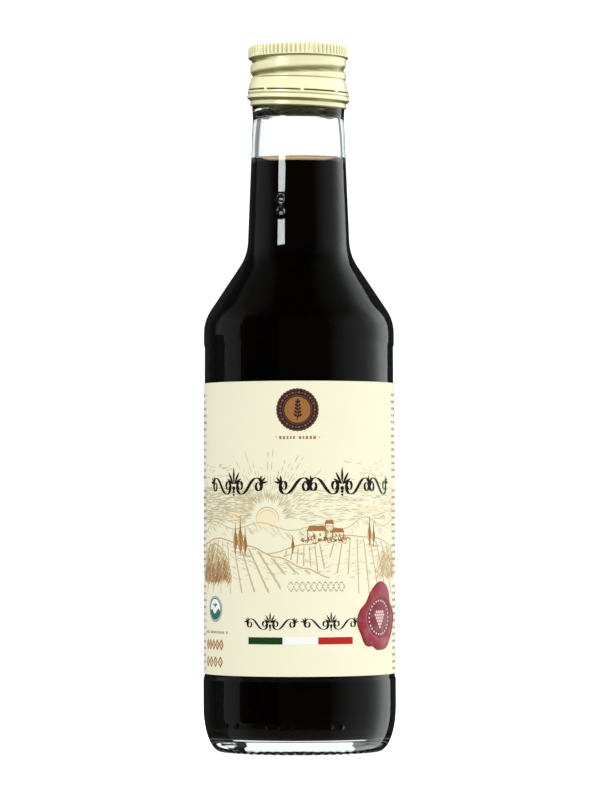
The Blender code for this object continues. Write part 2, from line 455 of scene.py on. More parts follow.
def vinegar_material(settings, glass):
    """Deep vinegar with a painted warm glow towards the floor, that mirrors light grazing it inside the
    glass.
    """
    graph = new_material("dark_vinegar")
    point = graph.object_point()
    # Painted glow: the colour turns warmer within 5 mm over the floor.
    low = (1.0 - (graph.axis(point, "Z") - glass.floor_rim / MM) / 5.0).clamp()
    cloud = graph.noise(point, 0.15, 2.0)
    deep = graph.mix(low * (0.4 + cloud), settings.body, settings.glow)
    grazed = graph.node("ShaderNodeFresnel", {}, {"IOR": VINEGAR_IOR / GLASS_IOR})
    grazed = ((grazed - 0.12) * 1.14).clamp()
    sockets = {
        "Base Color": graph.mix(grazed, deep, (0.96, 0.96, 0.96)),
        "Metallic": grazed,
        "Roughness": 0.03,
        "IOR": VINEGAR_IOR,
        "Specular IOR Level": 0.1,
    }
    return graph.principled(sockets)


def meniscus_material(settings):
    """The thin edge of the surface, amber where light comes through."""
    graph = new_material("amber_edge")
    ripple = graph.noise(graph.object_point(), 0.3, 1.0)
    sockets = {
        "Base Color": (1.0, 1.0, 1.0, 1.0),
        "Roughness": 0.0,
        "IOR": VINEGAR_IOR,
        "Transmission Weight": 1.0,
        "Normal": graph.bump(ripple, 0.08, 0.1),
    }
    absorbed = {"Color": (*settings.amber, 1.0), "Density": settings.density}
    return graph.principled(sockets, graph.node("ShaderNodeVolumeAbsorption", {}, absorbed))


def lacquer_material(settings):
    """Pale gold lacquer over aluminium: satin and a little streaked round, with painted shade in the
    grooves, flutes, slits and downward-facing flanks that the hollow attribute marks.
    """
    graph = new_material("cap_lacquer")
    point = graph.object_point()
    height = graph.axis(point, "Z")
    brushed = graph.node("ShaderNodeCombineXYZ", {}, {"X": 1.0, "Y": 1.0, "Z": height * 6.0})
    streaks = graph.noise(brushed, 1.2, 4.0)
    grain = graph.noise(point, 6.0, 3.0)
    # Painted shade: the hollow attribute darkens the lacquer towards the shade colour, mixed with a little
    # of the streaks.
    hollow = graph.node("ShaderNodeAttribute", {"attribute_name": "hollow"}, {}, "Fac")
    blended_tone = graph.mix((hollow * 0.9 + streaks * 0.15).clamp(), settings.lacquer, settings.shade)
    sockets = {
        "Base Color": blended_tone,
        "Metallic": 0.15,
        "Roughness": 0.24 + grain * 0.16,
        "Coat Weight": 0.6,
        "Coat Roughness": 0.12,
        "Normal": graph.bump(streaks * 0.5 + grain * 0.5, 0.12, 0.05),
    }
    return graph.principled(sockets)


def bare_metal_material():
    """The cap's dull inside, stained by the lacquer."""
    graph = new_material("cap_inside")
    stain = graph.noise(graph.object_point(), 1.5, 4.0)
    sockets = {
        "Base Color": graph.mix(stain, (0.42, 0.37, 0.16), (0.52, 0.48, 0.26)),
        "Metallic": 0.4,
        "Roughness": 0.45 + stain * 0.2,
        "Normal": graph.bump(stain, 0.2, 0.08),
    }
    return graph.principled(sockets)


def paper_material(settings):
    """Uncoated cream paper with a fine fibre and slow mottling."""
    graph = new_material("label_paper")
    point = graph.object_point()
    fibre = graph.noise(point, 3.2, 6.0, 0.65)
    mottle = graph.noise(point, 0.12, 3.0)
    tone = ((mottle - 0.35) * 0.7 + (fibre - 0.5) * 0.5).clamp()
    sockets = {
        "Base Color": graph.mix(tone, settings.cream, settings.fibre),
        "Roughness": 0.55 + fibre * 0.2,
        "Specular IOR Level": 0.35,
        "Normal": graph.bump(fibre, 0.25, 0.06),
    }
    return graph.principled(sockets)


# The glass


def neck_line(glass, inset):
    """Radius of the neck's side at height zero, and how fast it narrows."""
    slope = math.tan(glass.neck_taper)
    return glass.neck_radius + glass.neck_top * slope - inset / math.cos(glass.neck_taper), slope


def shoulder_line(glass, inset):
    """Radius of the shoulder's cone at height zero, and how fast it narrows."""
    slope = math.tan(glass.shoulder_tilt)
    corner = glass.shoulder_height + glass.shoulder_fillet * math.tan(glass.shoulder_tilt / 2)
    return glass.shoulder_radius + corner * slope - inset / math.cos(glass.shoulder_tilt), slope


def neck_radius_at(glass, height, inset=0.0):
    start, slope = neck_line(glass, inset)
    return start - height * slope


def neck_corner(glass, inset, cone_inset=None):
    """Where the neck's side would meet the shoulder's cone, with the fillet between them."""
    neck, neck_slope = neck_line(glass, inset)
    cone, cone_slope = shoulder_line(glass, inset if cone_inset is None else cone_inset)
    height = (cone - neck) / (cone_slope - neck_slope)
    return (neck - height * neck_slope, height, glass.neck_fillet + inset)


def shoulder_corner(glass, inset):
    """Where the shoulder's cone would meet the upright ring, with the fillet between them."""
    cone, slope = shoulder_line(glass, inset)
    radius = glass.shoulder_radius - inset
    return (radius, (cone - radius) / slope, glass.shoulder_fillet - inset)


def bore_corners(glass, bite=0.0):
    """The bore from the floor's centre up to the foot of the neck. A bite reaches into the wall."""
    inset = glass.wall - bite
    radius = glass.shoulder_radius - inset
    return [
        (0.0, glass.floor_crown - bite, 0.0),
        (radius * 0.6, glass.floor_rim * 0.3 + glass.floor_crown * 0.7 - bite, 20.0 * MM),
        (radius, glass.floor_rim - bite, glass.floor_round + bite),
        shoulder_corner(glass, inset),
        neck_corner(glass, glass.neck_wall - bite, inset),
    ]


def bore_wander(glass, turn, height):
    """How far the bore is off true at one place: a slow ripple that fades at floor and mouth."""
    sample = Vector((math.cos(turn) * 1.1, math.sin(turn) * 1.1, height / (14.0 * MM)))
    keep = fade(height, glass.floor_rim, 20.0 * MM) * (1.0 - fade(height, 186.0 * MM, 192.0 * MM))
    return glass.waviness * noise.noise(sample) * keep


def roughen_bore(verts, glass):
    """Put the slow ripple of the bore into these vertices."""
    for vert in verts:
        radius, turn, height = polar(vert.co)
        vert.co = from_polar(radius + bore_wander(glass, turn, height), turn, height)


def glass_outside(glass):
    """The outside from the bore at the mouth down to the push-up's centre."""
    mouth = MOUTH_TOP
    corners = [
        (glass.bore_radius, mouth - 4.0 * MM, 0.0),
        (glass.bore_radius, mouth, 0.7 * MM),
        (glass.mouth_radius, mouth, 0.6 * MM),
        (glass.mouth_radius, glass.ring_top + 0.8 * MM, 0.6 * MM),
        (glass.ring_radius, glass.ring_top, 0.5 * MM),
        (glass.ring_radius, glass.ring_foot, 0.5 * MM),
        (glass.flare_radius, glass.neck_top, 0.6 * MM),
        (neck_radius_at(glass, glass.flare_foot), glass.flare_foot, 6.0 * MM),
        neck_corner(glass, 0.0),
        shoulder_corner(glass, 0.0),
        (glass.shoulder_radius, glass.ring_below, 0.8 * MM),
        (glass.panel_top_radius, glass.panel_top, 0.8 * MM),
        (glass.panel_foot_radius, glass.panel_foot, 0.8 * MM),
        (glass.heel_radius, glass.panel_foot - 0.8 * MM, 0.8 * MM),
        (glass.heel_radius, glass.heel_height, 0.0),
    ]
    outline = rounded(corners)
    centre = Vector((glass.heel_radius - glass.heel_depth, glass.heel_height))
    outline += arc_points(centre, (glass.heel_depth, glass.heel_height), 0.0, -math.pi / 2, 16)[1:]
    under = [
        (glass.heel_radius - glass.heel_depth, 0.0, 0.0),
        (glass.bearing_radius, 0.0, 1.0 * MM),
        (glass.bearing_radius - 2.4 * MM, 2.1 * MM, 2.5 * MM),
        (0.0, glass.push_up, 0.0),
    ]
    return outline + rounded(under)[1:]


class BOTTLE_OT_glass(Operator):
    """Turn the clear glass bottle, with its thread, embossed rings and mould dots"""

    bl_idname = "bottle.glass"
    bl_label = "Glass"

    def execute(self, context):
        glass = context.scene.bottle_glass
        bm = bmesh.new()
        bore = bm.verts.layers.int.new("bore")
        finish = [
            (neck_radius_at(glass, glass.finish_foot, glass.neck_wall), glass.finish_foot, 1.5 * MM),
            (glass.bore_radius, glass.finish_foot + glass.finish_step, 1.5 * MM),
            (glass.bore_radius, MOUTH_TOP - 4.0 * MM, 0.0),
        ]
        inside = divided(rounded(bore_corners(glass) + finish), 2.2 * MM)
        outside = divided(glass_outside(glass), 1.8 * MM)
        spin_outline(bm, inside + outside[1:], glass.sides)
        self.mark_bore(bm, bore, glass)
        wide = [vert for vert in bm.verts if vert[bore] and self.is_open(vert)]
        roughen_bore(wide, glass)
        self.roll_thread(bm, bore, glass)
        self.stipple_foot(bm, glass)
        self.emboss(bm, bore, glass)
        bmesh.ops.recalc_face_normals(bm, faces=bm.faces)
        make_piece(bm, "bottle_glass", glass_material(glass), ["bottle"])
        return {"FINISHED"}

    @staticmethod
    def mark_bore(bm, bore, glass):
        """Flag the vertices of the inside, which lie deeper than the middle of the wall."""
        middle = glass.neck_wall * 0.6
        for vert in bm.verts:
            radius, _, height = polar(vert.co)
            if height < glass.floor_rim * 0.8 or height > MOUTH_TOP - 1.5 * MM:
                continue
            if height > glass.neck_top:
                outer = glass.mouth_radius
            elif height > neck_corner(glass, 0.0)[1]:
                outer = neck_radius_at(glass, height)
            else:
                start, slope = shoulder_line(glass, 0.0)
                outer = min(start - height * slope, glass.panel_top_radius)
            vert[bore] = int(radius < outer - middle)

    @staticmethod
    def is_open(vert):
        """True on the bore's side and neck, and not on its floor."""
        return vert.co.xy.length > 15.0 * MM or vert.co.z > 100.0 * MM

    @staticmethod
    def roll_thread(bm, bore, glass):
        """One and a half turns of thread round the mouth, hidden while the cap is on."""
        foot, top = 192.5 * MM, 202.2 * MM
        start, pitch = 196.2 * MM, 3.17 * MM
        lift, width = 0.85 * MM, 0.75 * MM
        for vert in bm.verts:
            radius, turn, height = polar(vert.co)
            if vert[bore] or not foot < height < top or radius < glass.mouth_radius * 0.95:
                continue
            for lap in (turn, turn + math.tau):
                ends = fade(lap, 0.3, 1.2) * (1.0 - fade(lap, 9.6, 10.4))
                radius += lift * ends * hump(height - start - pitch * lap / math.tau, width)
            vert.co = from_polar(radius, turn, height)

    @staticmethod
    def stipple_foot(bm, glass):
        """Small bars moulded round the bearing ring, which keep it from sliding on the line."""
        bars, depth = 60, 0.35 * MM
        for vert in bm.verts:
            radius, turn, height = polar(vert.co)
            if height < 0.9 * MM and glass.bearing_radius + 0.3 * MM < radius:
                notch = 0.5 - 0.5 * math.cos(turn * bars)
                notch *= fade(radius, glass.bearing_radius, glass.bearing_radius + MM)
                vert.co.z = height + depth * notch

    @staticmethod
    def emboss(bm, bore, glass):
        """Two small rings low on the neck and a row of mould dots round the heel."""
        marks = [(-20.5, height, 1.25, 0.36, 0.22) for height in (159.3, 155.6)]
        marks += [(side, 8.2, 0.0, 0.55, 0.5) for side in (-49.0, -40.8, -18.9, -11.5, -4.6, 18.6, 25.8)]
        for side, *sizes in marks:
            turn = FRONT + math.radians(side)
            height, ring, width, lift = (size * MM for size in sizes)
            reach = ring + 3.0 * width
            centre = aim(turn)

            def close(vert):
                """Distance from the mark along the surface, if the vertex is near it."""
                if vert[bore] or abs(vert.co.z - height) > reach:
                    return reach
                flat = vert.co.xy
                if flat.dot(centre) < 0.0:
                    return reach
                return math.hypot(flat.cross(centre), vert.co.z - height)

            near = [vert for vert in bm.verts if close(vert) < reach]
            edges = dict.fromkeys(edge for vert in near for face in vert.link_faces for edge in face.edges)
            bmesh.ops.subdivide_edges(bm, edges=list(edges), cuts=3, use_grid_fill=True)
            for vert in bm.verts:
                gap = close(vert)
                if gap < reach:
                    radius, place, z = polar(vert.co)
                    vert.co = from_polar(radius + lift * hump(gap - ring, width), place, z)


class BOTTLE_OT_vinegar(Operator):
    """Fill the bottle with vinegar up to its level, with the amber edge that climbs the wall"""

    bl_idname = "bottle.vinegar"
    bl_label = "Vinegar"

    def execute(self, context):
        glass = context.scene.bottle_glass
        vinegar = context.scene.bottle_vinegar
        wall = neck_radius_at(glass, vinegar.level, glass.neck_wall) + vinegar.bite
        corners = bore_corners(glass, vinegar.bite)
        corners += [(wall, vinegar.level, 0.0), (0.0, vinegar.level, 0.0)]
        bm = bmesh.new()
        spin_outline(bm, divided(rounded(corners), 2.2 * MM), glass.sides)
        self.follow_bore(bm, glass)
        bmesh.ops.recalc_face_normals(bm, faces=bm.faces)
        deep = vinegar_material(vinegar, glass)
        make_piece(bm, "vinegar_body", deep, ["vinegar"])
        self.make_edge(glass, vinegar, wall)
        return {"FINISHED"}

    @staticmethod
    def follow_bore(bm, glass):
        """Keep the vinegar's side in the glass where the bore is off true."""
        side = [vert for vert in bm.verts if vert.co.xy.length > 9.0 * MM and vert.co.z > 3.0 * MM]
        roughen_bore(side, glass)

    def make_edge(self, glass, vinegar, wall):
        """The wedge of the meniscus, from the wall inwards along its hollow curve."""
        sunk = vinegar.level - 0.5 * MM
        outline = [Vector((wall, sunk)), Vector((wall, vinegar.level + vinegar.climb))]
        steps = 10
        for step in range(1, steps + 1):
            down = step / steps
            inward = vinegar.bite + vinegar.reach * down ** 1.6
            outline.append(Vector((wall - inward, vinegar.level + vinegar.climb * (1.0 - down))))
        outline += [Vector((outline[-1].x, sunk)), outline[0].copy()]
        bm = bmesh.new()
        spin_outline(bm, outline, glass.sides)
        self.follow_bore(bm, glass)
        bmesh.ops.recalc_face_normals(bm, faces=bm.faces)
        amber = meniscus_material(vinegar)
        make_piece(bm, "vinegar_edge", amber, ["vinegar"])


class BOTTLE_OT_cap(Operator):
    """Roll the aluminium cap: knurled band, pressed thread, break line and lower band"""

    bl_idname = "bottle.cap"
    bl_label = "Cap"

    def execute(self, context):
        cap = context.scene.bottle_cap
        bm = bmesh.new()
        # hollow holds how much painted shade each vertex gets.
        hollow = bm.verts.layers.float.new("hollow")
        spin_outline(bm, self.outline(cap), cap.flutes * cap.sides_per_flute)
        bmesh.ops.recalc_face_normals(bm, faces=bm.faces)
        for vert in bm.verts:
            self.press(vert, hollow, cap)
        bm.normal_update()
        # Painted shade: downward-facing flanks of the side are darkened as well.
        for vert in bm.verts:
            if vert.co.xy.length > 12.0 * MM:
                vert[hollow] = min(1.0, vert[hollow] + 1.1 * fade(-vert.normal.z, 0.2, 0.8))
        piece = make_piece(bm, "cap_shell", lacquer_material(cap), ["cap"])
        metal = make_wall(piece, cap.shell)
        metal.use_even_offset = False
        metal.material_offset = 1
        piece.data.materials.append(bare_metal_material())
        return {"FINISHED"}

    @staticmethod
    def outline(cap):
        """The outside of the shell from the centre of its top to the rolled lower edge."""
        slit_foot = cap.slit_top - cap.slit_height
        above = [
            (0.0, CAP_TOP - 0.15 * MM, 0.0),
            (10.8 * MM, CAP_TOP - 0.15 * MM, 0.6 * MM),
            (11.6 * MM, CAP_TOP, 0.6 * MM),
            (cap.radius, CAP_TOP, 1.0 * MM),
            (cap.radius, cap.knurl_foot, 0.3 * MM),
            (cap.waist_radius, cap.knurl_foot - 0.5 * MM, 0.4 * MM),
            (cap.waist_radius - 0.1 * MM, cap.crease + 0.3 * MM, 0.2 * MM),
            (cap.waist_radius - 0.35 * MM, cap.crease, 0.2 * MM),
            (cap.skirt_radius, cap.slit_top, 0.0),
            (cap.skirt_radius, cap.slit_top - cap.slit_height * 0.15, 0.0),
            (cap.skirt_radius, cap.slit_top - cap.slit_height * 0.85, 0.0),
        ]
        band = cap.band_radius
        below = [
            (band - 0.03 * MM, slit_foot, 0.0),
            (band, slit_foot - 0.5 * MM, 0.2 * MM),
            (band - 0.3 * MM, slit_foot - 1.05 * MM, 0.2 * MM),
            (band + 0.1 * MM, slit_foot - 1.55 * MM, 0.2 * MM),
            (band + 0.1 * MM, slit_foot - 2.1 * MM, 0.2 * MM),
            (band - 0.9 * MM, slit_foot - 2.95 * MM, 0.2 * MM),
            (band - 0.8 * MM, slit_foot - 3.5 * MM, 0.3 * MM),
            (band - 0.75 * MM, cap.foot + 0.5 * MM, 0.3 * MM),
            (band - 1.2 * MM, cap.foot, 0.25 * MM),
            (band - 1.5 * MM, cap.foot + 0.35 * MM, 0.0),
        ]
        step = math.radians(15.0)
        side = divided(rounded(above, step), 0.35 * MM)
        disc = [point for point in rounded(above, step) if point.x <= 12.0 * MM]
        side = [point for point in side if point.x > 12.0 * MM]
        return disc + side + divided(rounded(below, step), 0.35 * MM)

    @staticmethod
    def slit(turn, height, cap):
        """1 inside the break line's cuts, 0 outside them and on their bridges."""
        if not cap.slit_top - cap.slit_height * 0.9 < height < cap.slit_top - cap.slit_height * 0.1:
            return 0.0
        spacing = math.tau / cap.bridges
        off = (turn - FRONT - cap.bridge_angle + spacing / 2) % spacing - spacing / 2
        return float(abs(off) > cap.bridge_width / 2)

    @staticmethod
    def groove(turn, height, cap):
        """How deep the rolled thread is at one place, from 0 to 1."""
        depth = 0.0
        for lap in (turn, turn + math.tau):
            ends = fade(lap, 2.0, 3.0) * (1.0 - fade(lap, 10.0, 10.7))
            off = height - cap.thread_left - cap.thread_pitch * (lap - math.pi) / math.tau
            flank = cap.groove_above if off > 0.0 else cap.groove_below
            depth = max(depth, ends * min(1.0, max(0.0, 1.08 - abs(off) / flank)))
        return depth

    def press(self, vert, hollow, cap):
        """Flutes, the rolled thread and the askew lower band, pressed into one vertex, which also gets its
        painted shade.
        """
        radius, turn, height = polar(vert.co)
        if radius < 12.0 * MM:
            return
        knurl = fade(height, cap.knurl_foot - 0.1 * MM, cap.knurl_foot + 0.4 * MM)
        knurl *= 1.0 - fade(height, CAP_TOP - 0.75 * MM, CAP_TOP - 0.2 * MM)
        flute = (0.5 - 0.5 * math.cos(turn * cap.flutes)) ** 2.2
        depth = self.groove(turn, height, cap)
        depth *= 1.0 - fade(height, cap.knurl_foot - 0.6 * MM, cap.knurl_foot)
        depth *= fade(height, cap.crease - 0.2 * MM, cap.crease + 0.4 * MM)
        cut = self.slit(turn, height, cap)
        radius -= cap.flute_depth * knurl * flute + cap.groove_depth * depth + cap.slit_depth * cut
        # Painted shade: the rolled groove, the flute bottoms and the break line's cuts are darkened.
        vert[hollow] = min(1.0, 0.8 * depth + 0.6 * knurl * flute + cut)
        moved = from_polar(radius, turn, height)
        lean = moved.y * math.tan(cap.lean_front) - moved.x * math.tan(cap.lean_side)
        moved.z += lean * (1.0 - fade(height, 193.0 * MM, 199.0 * MM))
        vert.co = moved


# The label


def label_radius(context, height):
    """Outer radius of the paper at one height."""
    glass = context.scene.bottle_glass
    label = context.scene.bottle_label
    up = (height - glass.panel_foot) / (glass.panel_top - glass.panel_foot)
    panel = glass.panel_foot_radius + (glass.panel_top_radius - glass.panel_foot_radius) * up
    return panel + label.gap + label.paper


class BOTTLE_OT_label(Operator):
    """Wrap the cream paper label round its panel"""

    bl_idname = "bottle.label"
    bl_label = "Label paper"

    def execute(self, context):
        label = context.scene.bottle_label
        ends = [Vector((label_radius(context, z), z)) for z in (LABEL_TOP, LABEL_FOOT)]
        wrap = math.tau - label.opening
        start = math.pi / 2 + label.opening / 2
        bm = bmesh.new()
        spin_outline(bm, divided(ends, 2.0 * MM), 240, wrap, start)
        bmesh.ops.recalc_face_normals(bm, faces=bm.faces)
        make_sheet(bm, "label_paper", paper_material(label), label.paper, ["label"])
        return {"FINISHED"}


# Print: flat shapes in label coordinates, x to the right of the front and y up in millimetres


def smooth(points, step=0.5):
    """A smooth path through the points, sampled about every step millimetres."""
    points = [Vector(point) for point in points]
    path = [points[0]]
    for i, (a, b) in enumerate(zip(points, points[1:])):
        before = points[max(i - 1, 0)]
        after = points[min(i + 2, len(points) - 1)]
        count = max(3, math.ceil((b - a).length / step) + 1)
        handle_a = a + (b - before) / 6
        handle_b = b - (after - a) / 6
        path += interpolate_bezier(a, handle_a, handle_b, b, count)[1:]
    return [Vector(point[:2]) for point in path]


def circle_path(centre, radius, start=0.0, turn=math.tau, steps=24):
    return arc_points(Vector(centre), (radius, radius), start, start + turn, steps)


class Ink:
    """One colour of print, gathered flat in a bmesh and then laid on the paper."""

    def __init__(self):
        self.bm = bmesh.new()

    def ribbon(self, path, width):
        """A stroke along a path. Its width is a number or a function of the share along it."""
        last = len(path) - 1
        grid = bmesh.ops.create_grid(self.bm, x_segments=last, y_segments=1, size=1.0)
        for vert in grid["verts"]:
            step = round((vert.co.x + 1.0) / 2.0 * last)
            ahead = path[min(step + 1, last)] - path[max(step - 1, 0)]
            across = Vector((-ahead.y, ahead.x)).normalized()
            wide = width(step / last) if callable(width) else width
            spot = path[step] + across * (math.copysign(wide, vert.co.y) / 2)
            vert.co = (spot.x, spot.y, 0.0)

    def taper(self, path, width, ends=0.25):
        """A stroke that thins out towards both ends."""
        self.ribbon(path, lambda share: width * (ends + (1.0 - ends) * math.sin(math.pi * share)))

    def patch(self, outline):
        """A filled shape inside a closed outline that turns anticlockwise."""
        made = bmesh.ops.create_circle(self.bm, cap_ends=True, segments=len(outline), radius=1.0)
        for vert in made["verts"]:
            turn = math.atan2(vert.co.y, vert.co.x) % math.tau
            spot = outline[round(turn / math.tau * len(outline)) % len(outline)]
            vert.co = (spot[0], spot[1], 0.0)

    def disc(self, centre, radius, segments=32):
        self.patch(circle_path(centre, radius, 0.0, math.tau, segments)[:-1])

    def line(self, start, end, width):
        self.ribbon([Vector(start), Vector(end)], width)

    def bar(self, x, y, width, height):
        """A small upright bar from its lower left corner."""
        middle = x + width / 2
        self.line((middle, y), (middle, y + height), width)

    def row(self, left, right, y, height, rng):
        """One row of greeked small print: short bars in words from left to right."""
        x = left
        space = height * 0.6
        bars = rng.randint(2, 9)
        while x < right - space:
            wide = height * rng.uniform(0.35, 0.75)
            self.bar(x, y, wide, height * 0.66)
            bars -= 1
            x += wide + height * 0.34
            if bars == 0:
                x += space
                bars = rng.randint(2, 9)

    def lay(self, context, name, tone, lift, sides=None, gloss=0.45, dry=0.25):
        """Bend the print round the label as a film of ink. Wide shapes are cut between their sides."""
        bm = self.bm
        bmesh.ops.remove_doubles(bm, verts=bm.verts, dist=PRINT_MERGE)
        if sides:
            low, high = sides
            for cut in range(math.floor(low), math.ceil(high)):
                whole = bm.verts[:] + bm.edges[:] + bm.faces[:]
                bmesh.ops.bisect_plane(bm, geom=whole, plane_co=(cut, 0, 0), plane_no=(1, 0, 0))
        wrap(context, bm, lift)
        make_sheet(bm, name, ink_material(f"{name}_ink", tone, gloss, dry), FILM)


def wrap(context, bm, lift=0.0):
    """Wrap flat geometry round the label. Heights over z 0 stand out from the paper."""
    label = context.scene.bottle_label
    for vert in bm.verts:
        height = vert.co.y * MM
        paper = label_radius(context, height)
        turn = FRONT + (vert.co.x * MM - label.shift) / paper
        vert.co = from_polar(paper + vert.co.z * MM + lift * MM, turn, height)


def ink_material(name, tone, gloss=0.45, dry=0.25):
    """Printing ink that lies a little uneven on the paper's grain."""
    graph = new_material(name)
    point = graph.object_point()
    grain = graph.noise(point, 5.0, 4.0, 0.6)
    patch = graph.noise(point, 0.7, 2.0)
    blended_tone = tuple(value + (0.75 - value) * dry * 0.6 for value in tone)
    thin = ((grain - 0.5) * 1.4 + (patch - 0.5) * 0.8 + dry * 0.6).clamp()
    sockets = {
        "Base Color": graph.mix(thin * dry * 2.0, tone, blended_tone),
        "Roughness": gloss + grain * 0.2,
        "Specular IOR Level": 0.2,
        "Normal": graph.bump(grain, 0.15, 0.04),
    }
    return graph.principled(sockets)


class PrintSettings(PropertyGroup):
    black: colour("Pen strokes", (0.012, 0.01, 0.009))
    sepia_dark: colour("Deep lines of the landscape", (0.34, 0.15, 0.035))
    sepia: colour("Lines of the landscape", (0.52, 0.35, 0.15))
    sepia_pale: colour("Hatching of sky and slopes", (0.52, 0.47, 0.29))
    peach: colour("Faint washes under the lines", (0.82, 0.71, 0.47))
    brown: colour("Medallion", (0.042, 0.013, 0.008))
    copper: colour("Centre of the medallion", (0.31, 0.122, 0.025))
    tan: colour("Beads of the medallion", (0.17, 0.075, 0.045))
    green: colour("First field of the stripe", (0.0045, 0.055, 0.008))
    white: colour("Middle field of the stripe", (0.82, 0.82, 0.8))
    red: colour("Last field of the stripe", (0.42, 0.012, 0.01))
    teal: colour("Round mark", (0.02, 0.16, 0.1))
    slate: colour("Ring of the round mark", (0.3, 0.36, 0.36))
    grey: colour("Small print", (0.3, 0.27, 0.2))
    wax: colour("Face of the seal", (0.29, 0.02, 0.036))
    # Painted shade colour for the seal's low face and outer edge.
    wax_deep: colour("Hollows of the seal", (0.13, 0.008, 0.015))
    wax_bloom: colour("Raised marks on the seal", (0.78, 0.52, 0.52))
    seed: count("Seed of the hand-drawn irregularity", 7)


EDGE = 37
PRINT_FOOT = 45.8
SUN = (-9.0, 67.2)
FAR_RANGE = (
    (-37, 63.4), (-29, 66.6), (-20, 64.4), (-11, 66.2), (-2, 64.0),
    (6, 65.6), (13, 64.4), (21, 67.8), (29, 65.2), (37, 67.2),
)
RIGHT_HILL = ((-9, 57.4), (2, 60.0), (13, 62.6), (25, 61.8), (37, 59.0))
LEFT_HILL = ((-37, 60.0), (-27, 61.8), (-15, 59.6), (-6, 56.4), (2, 53.2), (9, 50.6))


def ridge_height(ridge, x):
    """Height of a ridge over one place, or far below where the ridge has ended."""
    for (x0, y0), (x1, y1) in zip(ridge, ridge[1:]):
        if x0 <= x <= x1:
            return y0 + (y1 - y0) * fade(x, x0, x1)
    return 0.0


